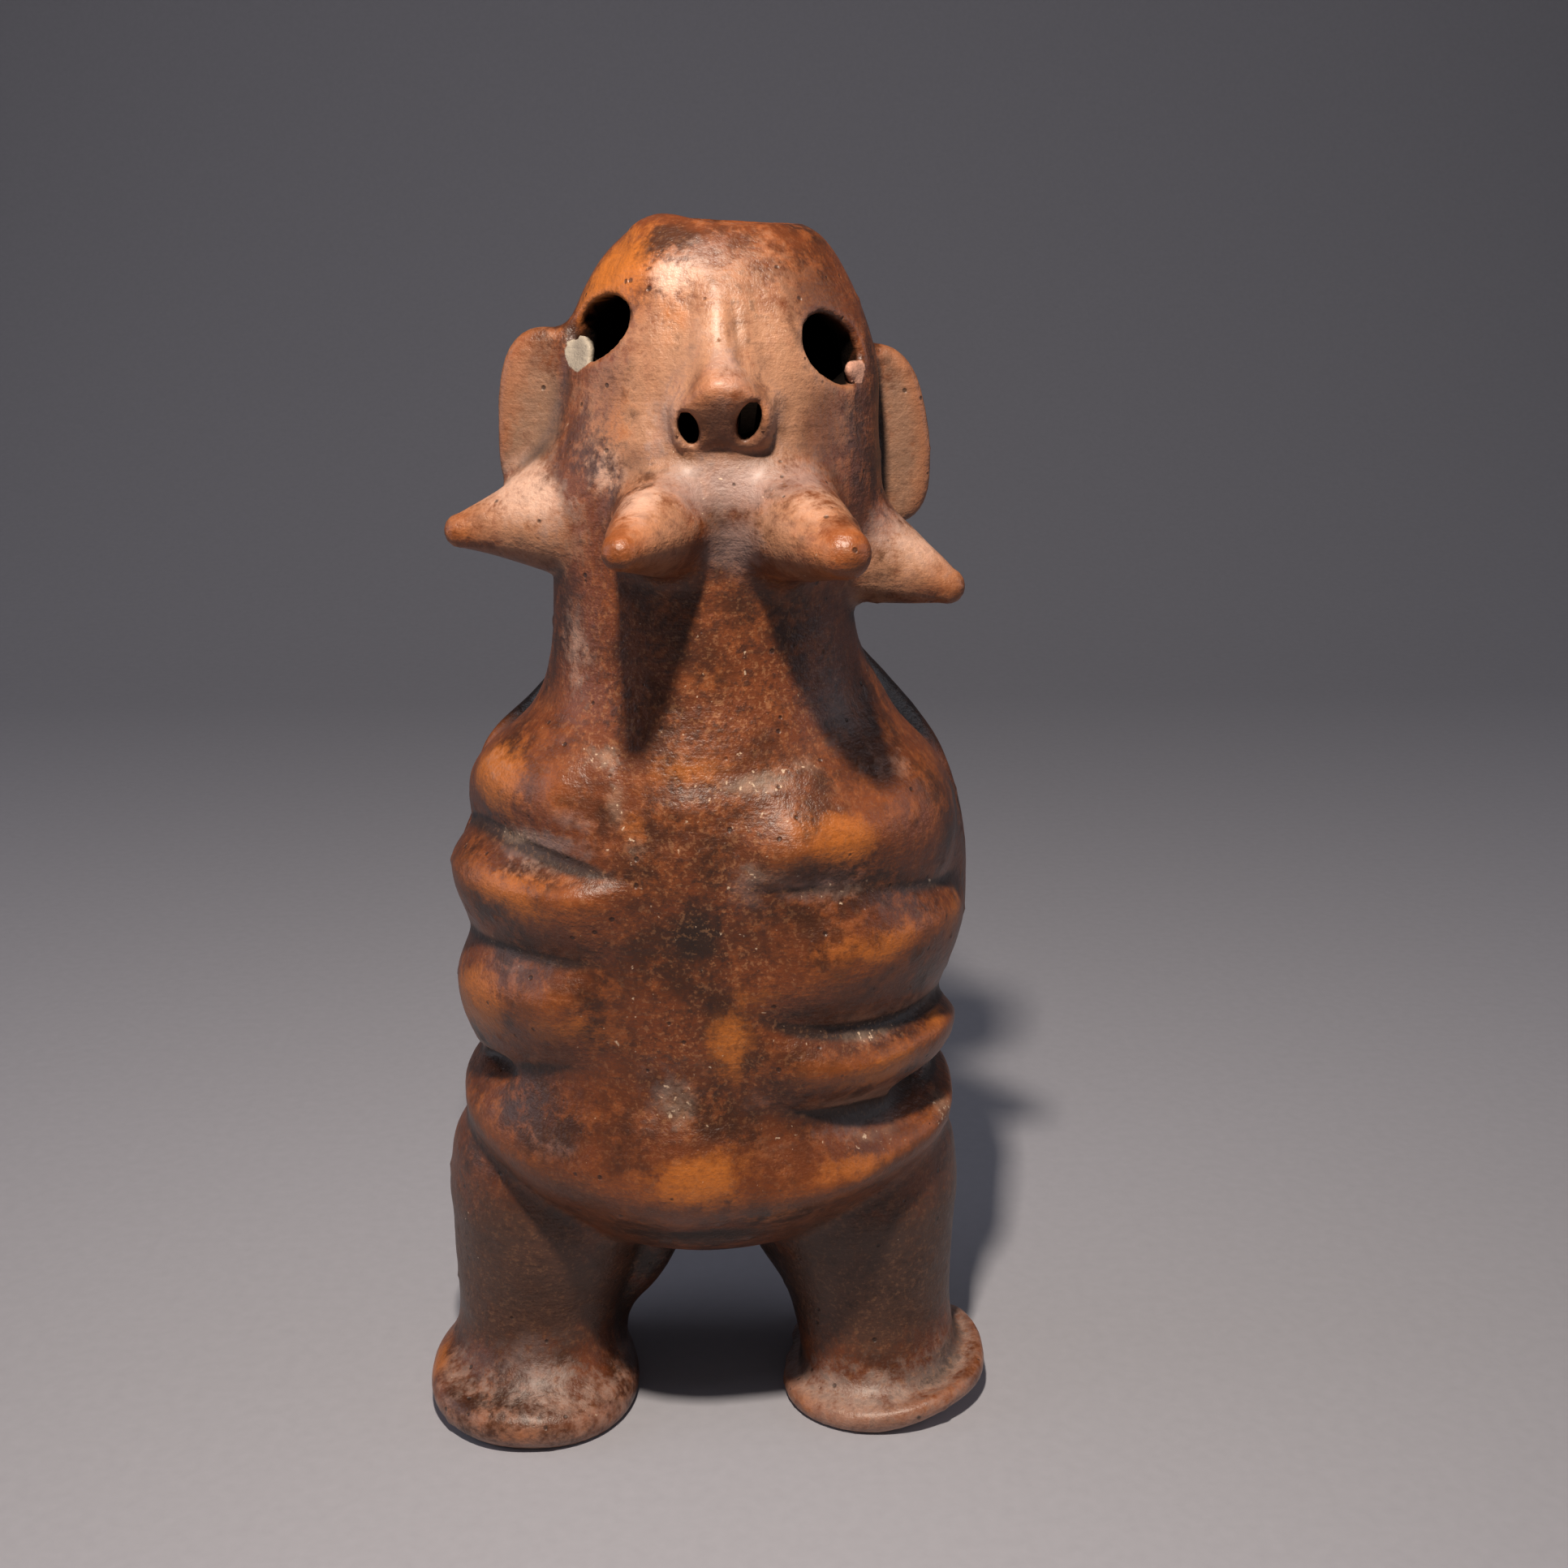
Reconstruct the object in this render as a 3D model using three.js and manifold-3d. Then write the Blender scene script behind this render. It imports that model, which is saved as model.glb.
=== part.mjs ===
// Figurative ceramic vessel: a hollow standing figure, hand-built in red clay, burnished and fired in one piece.
// Millimetres. +Z is up, the figure faces -Y, and +X is to the viewer's right.
// The shapes are worked out in a frame whose X = 0 plane splits the legs, and the finished piece is then moved
// so that the origin is the middle of its bounding box on the ground.

import * as THREE from 'three';
import { mergeVertices } from 'three/addons/utils/BufferGeometryUtils.js';
import Module from 'manifold-3d';

const wasm = await Module();
wasm.setup();

// Driving sizes
const WALL = 7;
const SOLE = 9;      // thickness under the middle of a foot

// A trunk section is an upright shape with an oval plan and domed ends: low and high are the heights where
// its ends begin, bottom and top how far the ends reach beyond them.
const BODY = { x: -1, y: 5, halfWidth: 65.6, halfDepth: 57, low: 92, bottom: 48.5, high: 163, top: 48 };
const HUMP = { x: 2.4, y: 22, halfWidth: 71.5, halfDepth: 45, low: 150, bottom: 66, high: 151, top: 72 };
const NECK = { x: -1, y: -4, halfWidth: 39.5, halfDepth: 36.5, low: 180, bottom: 30, high: 262, top: 30 };
const HEAD = { x: 4, y: -2, halfWidth: 40.4, halfDepth: 38, low: 262, bottom: 30, high: 288, top: 46.5 };
const BLENDS = { hump: 8, neck: 24, head: 12 };

// The crown is pressed flat round the mouth of the vessel, and dips to the viewer's right.
const CROWN = { x: 4, z: 329.4, dip: 3, blend: 4.5 };

// The folds of flesh over the ribs. side is -1 on the viewer's left; flank and breast are the heights of the
// fold's middle at the side and near the breastbone; half is half its width; start is the angle from the
// front where it fades in, and rise how far it stands out, or is pressed in where it is negative.
const FOLDS = [
  { side: -1, flank: 194, breast: 194, half: 12, start: 26, rise: 7 },
  { side: -1, flank: 159, breast: 163, half: 11, start: 20, rise: 7 },
  { side: -1, flank: 127, breast: 134, half: 12, start: 26, rise: 6.5 },
  { side: 1, flank: 187, breast: 179, half: 12, start: 10, rise: 7 },
  { side: 1, flank: 148, breast: 141, half: 12, start: 8, rise: 7 },
  { side: 1, flank: 116, breast: 119, half: 9, start: 10, rise: 6 },
  { side: -1, flank: 177, breast: 176, half: 6, start: 18, rise: -4 },
  { side: -1, flank: 143, breast: 149, half: 5, start: 20, rise: -4 },
  { side: -1, flank: 108, breast: 114, half: 7, start: 34, rise: -5 },
  { side: 1, flank: 166, breast: 161, half: 6, start: 10, rise: -3 },
  { side: 1, flank: 128, breast: 133, half: 5, start: 4, rise: -5 },
  { side: 1, flank: 100, breast: 106, half: 6, start: 6, rise: -6 },
];
const FOLD_FADE = 24;      // degrees over which a fold fades in at the front
const FOLD_END = 112;      // degrees from the front where it starts to fade out again
const FOLD_TAIL = 45;      // degrees over which it then fades out
// The lower belly hangs as one roll over the tops of the legs, low at the front and higher at the hips.
const BELLY = { front: 83, hip: 91, half: 12, rise: 6.5, end: 75 };

// Each leg is turned: the profile is radius against height, and the plan is longer than it is wide.
const LEG_PROFILE = [[27, 0], [30.2, 1.4], [31.2, 4], [30.2, 7.5], [27.4, 13], [25.8, 21], [26, 32],
  [28.4, 46], [30, 60], [28, 78], [21, 90]];
const LEG_TOP = 99;
// foot is how far the sole is shifted from the shin, and hip how far the thigh leans towards the other one.
const LEGS = [
  { x: -50.3, y: 1, foot: [-1, -13], hip: 3, depth: 1.1 },
  { x: 43.6, y: 1, foot: [3.6, -9], hip: -3, depth: 1.08 },
];
const ANKLE = 26;
const THIGH = 56;

// Four blunt horns stand out round the jaw.
const HORNS = [
  { root: [-29, -9, 256.8], tip: [-66.8, -15.4, 252.8], girth: 1.1 },
  { root: [-7.5, -31, 258.5], tip: [-20.6, -75, 257], girth: 0.95 },
  { root: [17, -31, 258], tip: [32.6, -71, 255.5], girth: 1 },
  { root: [33, -6, 247], tip: [66, -14, 236.6], girth: 1.04 },
];
const HORN_RADII = [14.8, 14, 12, 9.8, 7.7, 5.6];   // from the root to the start of the round tip
const HORN_TIP = 5;

const EARS = [
  { x: -38.5, y: -5, z: 280.4, reach: 15.4, half: 22.8, tilt: 2, turn: -12 },
  { x: 42, y: 8, z: 273.8, reach: 17.2, half: 24.4, tilt: 3, turn: 10 },
];
const EAR_THICK = 7.5;
const EAR_BEVEL = 2.6;
const EAR_CURVE = 0.72;      // 1 is an oval, and less is squarer
const EAR_SIDES = 30;

// The eyes are cut through the wall, square to it: turn is the angle from the front, droop how far the
// outer corner hangs.
const EYES = [
  { turn: -57, z: 303.5, halfWidth: 10.8, halfHeight: 7.3, droop: 20 },
  { turn: 46, z: 298.5, halfWidth: 11.2, halfHeight: 7.8, droop: 25 },
];
const NOSE = {
  bridge: [[2.8, -25, 315], [3.4, -39.4, 289]],
  bridgeRadii: [8.6, 10.4],
  wings: [[-3.2, -40, 283.4], [9.8, -40, 284]],
  wingRadii: [6.2, 9, 7.6],
  blend: 5,
};
const NOSTRILS = [{ x: -4, z: 281.4, lean: 12 }, { x: 9.8, z: 283.4, lean: -14 }];
const NOSTRIL_HALF = { width: 2.6, height: 4 };

const PIERCING = { start: 12, length: 55, sides: 20 };

// The mouth of the vessel is a round hole in the crown, and cut is the length of the tool that cuts it.
const MOUTH = { x: 5.4, y: -2, radius: 15.4, cut: 50, sides: 28 };

const vec = (a) => new THREE.Vector3(...a);
const SAME_SPOT = 1e-4;
const UP = vec([0, 1, 0]);      // the way that a lathe or a capsule is made to stand
const radians = THREE.MathUtils.degToRad;
const lerp = THREE.MathUtils.lerp;
const smooth = THREE.MathUtils.smoothstep;
const clamp = THREE.MathUtils.clamp;

const SPINE = [vec([BODY.x, BODY.y, BODY.low]), vec([HEAD.x, HEAD.y, HEAD.high])];

// Distances from a point to the clay, negative inside it

function ovalDistance(x, y, z, rx, ry, rz) {
  const near = Math.hypot(x / rx, y / ry, z / rz);
  const slope = Math.hypot(x / rx ** 2, y / ry ** 2, z / rz ** 2);
  return slope > 0 ? near * (near - 1) / slope : -Math.min(rx, ry, rz);
}

function sectionDistance(p, s) {
  const below = p.z < s.low;
  const z = below ? p.z - s.low : Math.max(p.z - s.high, 0);
  return ovalDistance(p.x - s.x, p.y - s.y, z, s.halfWidth, s.halfDepth, below ? s.bottom : s.top);
}

function smoothMin(a, b, blend) {
  const h = Math.max(blend - Math.abs(a - b), 0);
  return Math.min(a, b) - h * h / (4 * blend);
}

function taperDistance(p, a, b, ra, rb) {
  const along = vec(b).sub(vec(a));
  const from = p.clone().sub(vec(a));
  const t = clamp(from.dot(along) / along.lengthSq(), 0, 1);
  return from.addScaledVector(along, -t).length() - lerp(ra, rb, t);
}

// How far the folds lift the skin at a point on the torso
function foldRelief(p) {
  const angle = THREE.MathUtils.radToDeg(Math.atan2(p.x - BODY.x, BODY.y - p.y));
  const turned = Math.abs(angle);
  const sideways = smooth(turned, 0, 90);
  let lift = 0;
  for (const f of FOLDS) {
    if (Math.sign(angle) !== f.side) continue;
    const off = (p.z - lerp(f.breast, f.flank, sideways)) / f.half;
    const shown = smooth(turned, f.start, f.start + FOLD_FADE) * (1 - smooth(turned, FOLD_END, FOLD_END + FOLD_TAIL));
    lift += f.rise * shown * Math.exp(-off * off);
  }
  const off = (p.z - lerp(BELLY.front, BELLY.hip, sideways)) / BELLY.half;
  lift += BELLY.rise * (1 - smooth(turned, BELLY.end, BELLY.end + FOLD_TAIL)) * Math.exp(-off * off);
  return lift;
}

function trunkDistance(p, relief) {
  const body = sectionDistance(p, BODY) - (relief ? foldRelief(p) : 0);
  const torso = smoothMin(body, sectionDistance(p, HUMP), BLENDS.hump);
  const upright = smoothMin(torso, sectionDistance(p, NECK), BLENDS.neck);
  const whole = smoothMin(upright, sectionDistance(p, HEAD), BLENDS.head);
  const aboveCrown = p.z - CROWN.z + (p.x - CROWN.x) * Math.tan(radians(CROWN.dip));
  return -smoothMin(-whole, -aboveCrown, CROWN.blend);
}

function noseDistance(p) {
  const [top, tip] = NOSE.bridge;
  let d = taperDistance(p, top, tip, ...NOSE.bridgeRadii);
  for (const [x, y, z] of NOSE.wings) {
    d = smoothMin(d, ovalDistance(p.x - x, p.y - y, p.z - z, ...NOSE.wingRadii), NOSE.blend);
  }
  return d;
}

// Geometry to solids and back

function solidOf(geometry) {
  geometry.deleteAttribute('normal');
  geometry.deleteAttribute('uv');
  const merged = mergeVertices(geometry, SAME_SPOT);
  const index = merged.index.array;
  const faces = [];
  for (let i = 0; i < index.length; i += 3) {
    const [a, b, c] = index.subarray(i, i + 3);
    if (a !== b && b !== c && c !== a) faces.push(a, b, c);
  }
  return new wasm.Manifold(new wasm.Mesh({
    numProp: 3,
    vertProperties: new Float32Array(merged.attributes.position.array),
    triVerts: new Uint32Array(faces),
  }));
}

function geometryOf(solid) {
  const mesh = solid.getMesh();
  const geometry = new THREE.BufferGeometry();
  geometry.setAttribute('position', new THREE.BufferAttribute(mesh.vertProperties, 3));
  geometry.setIndex(new THREE.BufferAttribute(mesh.triVerts, 1));
  return geometry;
}

// A capsule from one point to another whose skin is slid along its own normals until it lies where the
// distance to the clay equals level. Its facets are narrower at the front.
function modelled(from, to, distance, level, segments) {
  const START = 130;          // a slide starts this far out, and steps in by a share of the distance left
  const SHARE = 0.55;
  const STEPS = 400;
  const CLOSE = 2e-3;
  const FRONTWARD = 0.3;      // radians by which a facet at the side is turned to the front
  const axis = to.clone().sub(from);
  const geometry = new THREE.CapsuleGeometry(1, axis.length(), segments.cap, segments.round, segments.rows);
  const turn = new THREE.Quaternion().setFromUnitVectors(UP, axis.clone().normalize());
  const { position, normal } = geometry.attributes;
  const spot = new THREE.Vector3();
  const away = new THREE.Vector3();
  const middle = from.clone().add(to).multiplyScalar(0.5);
  for (let i = 0; i < position.count; i++) {
    away.fromBufferAttribute(normal, i).normalize();
    spot.fromBufferAttribute(position, i).sub(away);
    const angle = Math.atan2(away.x, away.z);
    away.applyAxisAngle(UP, -FRONTWARD * Math.sin(angle));
    away.applyQuaternion(turn);
    spot.applyQuaternion(turn).add(middle);
    let reach = START;
    for (let step = 0; step < STEPS; step++) {
      const gap = distance(spot.clone().addScaledVector(away, reach)) - level;
      if (Math.abs(gap) < CLOSE) break;
      reach -= gap * SHARE;
    }
    spot.addScaledVector(away, reach);
    position.setXYZ(i, spot.x, spot.y, spot.z);
  }
  return solidOf(geometry);
}

function turned(profile, segments, place) {
  const points = profile.map(([r, z]) => new THREE.Vector2(r, z));
  const geometry = new THREE.LatheGeometry(points, segments);
  const position = geometry.attributes.position;
  const spot = new THREE.Vector3();
  for (let i = 0; i < position.count; i++) {
    spot.fromBufferAttribute(position, i);
    spot.set(spot.x, -spot.z, spot.y);      // the lathe turns about Y, and the clay stands on Z
    place(spot);
    position.setXYZ(i, spot.x, spot.y, spot.z);
  }
  return solidOf(geometry);
}

// The parts of the figure

// A leg's clay from a floor of 0, or from the sole's top the hollow inside its wall
function leg(l, floor, wall, sides) {
  const rings = LEG_PROFILE.filter(([, z]) => z >= floor).map(([r, z]) => [r - wall, z]);
  const profile = [[0, floor], ...rings, [0, LEG_TOP - wall]];
  return turned(profile, sides, (spot) => {
    const forward = 1 - smooth(spot.z, 0, ANKLE);
    spot.x += l.x + l.foot[0] * forward + l.hip * smooth(spot.z, ANKLE, THIGH);
    spot.y = spot.y * l.depth + l.y + l.foot[1] * forward;
  });
}

function horn(h) {
  const axis = vec(h.tip).sub(vec(h.root));
  const straight = axis.length() - HORN_TIP;
  const profile = [[0, 0]];
  HORN_RADII.forEach((r, i) => profile.push([r * h.girth, straight * i / (HORN_RADII.length - 1)]));
  const last = HORN_RADII[HORN_RADII.length - 1] * h.girth;
  for (const angle of [25, 50, 72].map(radians)) {
    profile.push([last * Math.cos(angle), straight + HORN_TIP * Math.sin(angle)]);
  }
  profile.push([0, axis.length()]);
  const turn = new THREE.Quaternion().setFromUnitVectors(new THREE.Vector3(0, 0, 1), axis.normalize());
  return turned(profile, 12, (spot) => spot.applyQuaternion(turn).add(vec(h.root)));
}

function ear(e) {
  const squared = (v) => Math.sign(v) * Math.abs(v) ** EAR_CURVE;
  const shape = new THREE.Shape();
  for (let i = 0; i < EAR_SIDES; i++) {
    const angle = 2 * Math.PI * i / EAR_SIDES;
    const x = squared(Math.cos(angle)) * (e.reach - EAR_BEVEL);
    const z = squared(Math.sin(angle)) * (e.half - EAR_BEVEL);
    if (i === 0) shape.moveTo(x, z);
    else shape.lineTo(x, z);
  }
  const flat = EAR_THICK - 2 * EAR_BEVEL;
  const geometry = new THREE.ExtrudeGeometry(shape, {
    depth: flat, bevelThickness: EAR_BEVEL, bevelSize: EAR_BEVEL, bevelSegments: 2,
  });
  geometry.translate(0, 0, -flat / 2);
  geometry.rotateX(Math.PI / 2);
  geometry.rotateY(radians(e.tilt));
  geometry.rotateZ(radians(e.turn));
  geometry.translate(e.x, e.y, e.z);
  return solidOf(geometry);
}

// An oval rod that starts inside the head, in front of its middle, and runs out through its wall
function piercing(halfWidth, halfHeight, lean) {
  const geometry = new THREE.CylinderGeometry(1, 1, PIERCING.length, PIERCING.sides);
  geometry.translate(0, -PIERCING.start - PIERCING.length / 2, 0);
  geometry.scale(halfWidth, 1, halfHeight);
  geometry.rotateY(radians(lean));
  return geometry;
}

function eye(e) {
  const geometry = piercing(e.halfWidth, e.halfHeight, Math.sign(e.turn) * e.droop);
  geometry.rotateZ(radians(e.turn));
  geometry.translate(HEAD.x, HEAD.y, e.z);
  return solidOf(geometry);
}

function nostril(n) {
  const geometry = piercing(NOSTRIL_HALF.width, NOSTRIL_HALF.height, n.lean);
  geometry.translate(n.x, HEAD.y, n.z);
  return solidOf(geometry);
}

function mouthHole() {
  const geometry = new THREE.CylinderGeometry(MOUTH.radius, MOUTH.radius, MOUTH.cut, MOUTH.sides);
  geometry.rotateX(Math.PI / 2);
  geometry.translate(MOUTH.x, MOUTH.y, CROWN.z);
  return solidOf(geometry);
}

function trunk() {
  return modelled(...SPINE, (p) => trunkDistance(p, true), 0, { cap: 8, round: 48, rows: 31 });
}

function hollow() {
  return modelled(...SPINE, (p) => trunkDistance(p, false), -WALL, { cap: 5, round: 22, rows: 13 });
}

function nose() {
  const [x, y, z] = NOSE.bridge[1];
  const from = vec([x, y + 2, z - 8]);
  const to = vec(NOSE.bridge[0]).add(vec([0, 1, -2]));
  return modelled(from, to, noseDistance, 0, { cap: 5, round: 18, rows: 6 });
}

function figure() {
  const clay = [trunk(), nose(), ...LEGS.map((l) => leg(l, 0, 0, 26)), ...HORNS.map(horn), ...EARS.map(ear)];
  const shafts = [mouthHole(), ...EYES.map(eye), ...NOSTRILS.map(nostril)];
  const empty = [hollow(), ...LEGS.map((l) => leg(l, SOLE, WALL, 14)), ...shafts];
  const outside = clay.reduce((whole, piece) => whole.add(piece));
  return empty.reduce((whole, space) => whole.subtract(space), outside);
}

const geometry = geometryOf(figure());
geometry.computeBoundingBox();
const box = geometry.boundingBox;
geometry.translate(-(box.min.x + box.max.x) / 2, -(box.min.y + box.max.y) / 2, -box.min.z);

const vessel = new THREE.Mesh(geometry, new THREE.MeshStandardMaterial({
  color: 0x8a4a28, roughness: 0.45, metalness: 0,
}));
vessel.name = 'vessel';

const group = new THREE.Group();
group.add(vessel);
export default group;
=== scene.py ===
# %% [markdown]
# # A hollow standing figure in burnished red clay
# The real object is a vessel in the shape of a stout standing creature: a domed head with the pouring hole
# in its crown, flat ears, four blunt horns round the jaw, a body with folds of flesh over the ribs, and two
# thick legs. It is one piece, so it is made here as one mesh. Its box is loaded now, and hidden at the end
# when the finished piece takes its place.

# %% Load the shared frame
import math

import bpy
import numpy as np
import openvdb
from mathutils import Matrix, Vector


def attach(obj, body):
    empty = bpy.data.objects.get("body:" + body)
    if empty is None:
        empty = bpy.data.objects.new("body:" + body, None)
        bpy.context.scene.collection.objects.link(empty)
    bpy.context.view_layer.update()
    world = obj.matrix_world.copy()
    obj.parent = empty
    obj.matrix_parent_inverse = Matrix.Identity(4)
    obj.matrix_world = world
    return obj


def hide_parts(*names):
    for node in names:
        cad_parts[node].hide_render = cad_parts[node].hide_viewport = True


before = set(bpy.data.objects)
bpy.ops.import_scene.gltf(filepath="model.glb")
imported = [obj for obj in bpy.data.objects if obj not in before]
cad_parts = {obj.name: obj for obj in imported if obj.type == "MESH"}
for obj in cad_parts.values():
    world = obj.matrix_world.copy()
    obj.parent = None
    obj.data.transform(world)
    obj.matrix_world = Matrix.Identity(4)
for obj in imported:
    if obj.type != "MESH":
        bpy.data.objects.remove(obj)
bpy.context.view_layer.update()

# %% [markdown]
# ## Clay as a field of distances
# Hand-built clay has no edges to model by: every part runs into the next in a thumbed fillet. Boxes and a
# subdivision surface would need each fillet drawn by hand. A distance field gives them for nothing. Each
# part is a rule that says how far a point is from its skin, less than nothing inside, and a smooth minimum
# of two rules is two lumps of clay pressed together. The rules are worked out at once on a grid of points
# with numpy. Lengths are millimetres, +Z is up, the figure faces -Y, and X = 0 is between the legs. SHIFT
# carries that modelling frame into the part's own.

# %% The grid of points
MM = 0.001
STEP = 1.2
LOW = (-90, -86, -5)
HIGH = (88, 78, 337)
SHIFT = np.array([2.1328, 3.9826, 0.0])

LINES = [np.arange(low, high, STEP, dtype=np.float32) for low, high in zip(LOW, HIGH)]
X, Y, Z = np.meshgrid(*LINES, indexing="ij", sparse=True)
print("grid", [len(line) for line in LINES])


def near(low, high):
    """The part of the grid between two corners: its slices, and its own X, Y and Z"""
    cut = tuple(slice(max(int((a - line[0]) / STEP), 0), int((b - line[0]) / STEP) + 2)
                for a, b, line in zip(low, high, LINES))
    return cut, X[cut[0]], Y[:, cut[1]], Z[:, :, cut[2]]


# %% Rules for lumps of clay
def smooth(value, start, end):
    t = np.clip((value - start) / (end - start), 0, 1)
    return t * t * (3 - 2 * t)


def oval(x, y, z, rx, ry, rz):
    """Distance to an ellipsoid about the origin"""
    reach = np.sqrt((x / rx) ** 2 + (y / ry) ** 2 + (z / rz) ** 2 + 1e-6)
    slope = np.sqrt((x / rx ** 2) ** 2 + (y / ry ** 2) ** 2 + (z / rz ** 2) ** 2 + 1e-10)
    return reach * (reach - 1) / slope


def pressed(a, b, blend):
    """Two lumps pressed together, with a fillet about as wide as blend"""
    h = np.maximum(blend - np.abs(a - b), 0)
    return np.minimum(a, b) - h * h / (4 * blend)


def cut_away(clay, tool, blend):
    """The clay without what the tool takes, its new edge rounded by blend"""
    return -pressed(-clay, tool, blend)


def taper(x, y, z, path, radii):
    """Distance to a straight roll of clay between two points, its radius given at even steps"""
    a, b = (np.array(p, dtype=np.float32) for p in path)
    along = b - a
    length = float(np.linalg.norm(along))
    dx, dy, dz = x - a[0], y - a[1], z - a[2]
    t = np.clip((dx * along[0] + dy * along[1] + dz * along[2]) / length ** 2, 0, 1)
    across = np.sqrt((dx - t * along[0]) ** 2 + (dy - t * along[1]) ** 2 + (dz - t * along[2]) ** 2)
    return across - np.interp(t, np.linspace(0, 1, len(radii)), radii).astype(np.float32)


# %% [markdown]
# ## Trunk
# The trunk of the real figure is a barrel with a rounded back behind it, a neck and a domed head, and each
# is an upright shape with an oval plan and domed ends. low and high are the heights where the ends begin,
# bottom and top how far they reach on. The wide fillets are the potter's thumb drawn round the neck.

# %% Body, back, neck and head
BODY = dict(x=-1, y=5, half_width=65.6, half_depth=57, low=92, bottom=48.5, high=163, top=48)
BACK = dict(x=2.4, y=22, half_width=71.5, half_depth=45, low=150, bottom=66, high=151, top=72)
NECK = dict(x=-1, y=-4, half_width=39.5, half_depth=36.5, low=180, bottom=30, high=262, top=30)
HEAD = dict(x=4, y=-2, half_width=40.4, half_depth=38, low=262, bottom=30, high=288, top=46.5)
THUMBED = dict(back=8, neck=24, head=12)


def section(s):
    height = np.where(Z < s["low"], Z - s["low"], np.maximum(Z - s["high"], 0))
    end = np.where(Z < s["low"], s["bottom"], s["top"])
    return oval(X - s["x"], Y - s["y"], height, s["half_width"], s["half_depth"], end)


def trunk(body):
    clay = pressed(body, section(BACK), THUMBED["back"])
    clay = pressed(clay, section(NECK), THUMBED["neck"])
    return pressed(clay, section(HEAD), THUMBED["head"])


plain_body = section(BODY)
plain_trunk = trunk(plain_body)
print("trunk inside", round(float((plain_trunk < 0).sum()) * STEP ** 3 / 1e6, 2), "litres")

# %% [markdown]
# ## Folds of flesh
# Over the ribs the clay is drawn into fat rolls, three to a side, and a wide one that hangs over the legs.
# The rolls could be added as separate sausages, but on the real piece they are squeezed out of the wall:
# each one is soft above and turns sharply under at its lower edge. So they are a relief on the body, a line
# of crests and creases for each side, with the height of each line given at four angles from the
# breastbone.

# %% Crests and creases
ANGLES = (20, 40, 60, 88)
# heights at those angles, rise, then the angles where the line fades in
LEFT_LINES = [
    (( 62,  62,  64,  66),  0.0, -2, -1),
    (( 84,  86,  89,  93),  6.5, -2, -1),
    ((116, 116, 110, 104), -1.6, 36, 62),
    ((138, 135, 131, 127),  7.0, 22, 40),
    ((148, 147, 146, 140),  1.2, 18, 38),
    ((167, 165, 163, 160),  6.9, 15, 34),
    ((171, 174, 176, 171), -0.8, 20, 40),
    ((190, 193, 193, 190),  7.5, 24, 42),
    ((212, 216, 216, 214),  0.0, 20, 40),
]
RIGHT_LINES = [
    (( 62,  62,  64,  66),  0.0, -2, -1),
    (( 83,  85,  88,  91),  6.5, -2, -1),
    ((106, 102,  99,  98), -3.0, 22, 50),
    ((118, 117, 117, 111),  6.5,  8, 30),
    ((130, 126, 124, 119), -0.6,  4, 26),
    ((144, 149, 150, 143),  7.5,  8, 34),
    ((168, 166, 161, 154),  1.8, 14, 40),
    ((179, 184, 187, 184),  7.2,  4, 22),
    ((200, 208, 212, 210),  0.0,  4, 24),
]
SHARPNESS = 0.75       # 0 is a soft wave, and 1 turns under at once above a crease
FLANK = (62, 92, 0.72)  # angles over which a fold sinks to this share of its rise at the flank
BLUNTED = (90, 130)     # angles over which the sharp creases turn into soft waves
FADE_OUT = (108, 150)   # angles over which the folds die away at the back


HELD = (14, 96)         # angles between which the lines climb and fall, and beyond which they run level
BREASTBONE = 14         # angle on each side of the front over which left folds give way to right ones


def relief(lines, angle):
    """How far the skin stands out at each point of the grid"""
    held = np.clip(angle, *HELD)
    fade = (1 - smooth(angle, *FADE_OUT)) * (1 - (1 - FLANK[2]) * smooth(angle, *FLANK[:2]))
    heights, lifts = [], []
    for at, rise, start, full in lines:
        height = np.polyval(np.polyfit(ANGLES, at, 3), held)
        heights.append(height.astype(np.float32))
        lifts.append((rise * fade * smooth(angle, start, full)).astype(np.float32))
    lift = np.zeros(np.broadcast_shapes(angle.shape, Z.shape), dtype=np.float32)
    for i in range(len(lines) - 1):
        t = np.clip((Z - heights[i]) / (heights[i + 1] - heights[i]), 0, 1)
        soft = t * t * (3 - 2 * t)
        rising = lines[i + 1][1] > lines[i][1]
        tight = np.sin(t * math.pi / 2) if rising else 1 - np.cos(t * math.pi / 2)
        amount = SHARPNESS if rising else SHARPNESS / 2
        amount = amount * (1 - smooth(angle, *BLUNTED)) if 1 < i < len(lines) - 2 else 0
        share = soft + (tight - soft) * amount
        inside = (Z >= heights[i]) & (Z < heights[i + 1])
        lift += np.where(inside, lifts[i] + (lifts[i + 1] - lifts[i]) * share, 0)
    return lift


turned = np.degrees(np.arctan2(X - BODY["x"], BODY["y"] - Y))
folds = relief(LEFT_LINES, np.abs(turned))
to_right = smooth(turned, -BREASTBONE, BREASTBONE)
folds = folds * (1 - to_right) + relief(RIGHT_LINES, np.abs(turned)) * to_right
clay = trunk(plain_body - folds)
print("folds from", round(float(folds.min()), 1), "to", round(float(folds.max()), 1), "mm")

# %% [markdown]
# ## Valley behind the shoulders
# The rounded back is a hump of its own. A valley runs up over each shoulder between it and the front of the
# body, and dies away at the flank. It is drawn with a round tool along a few points.

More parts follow.
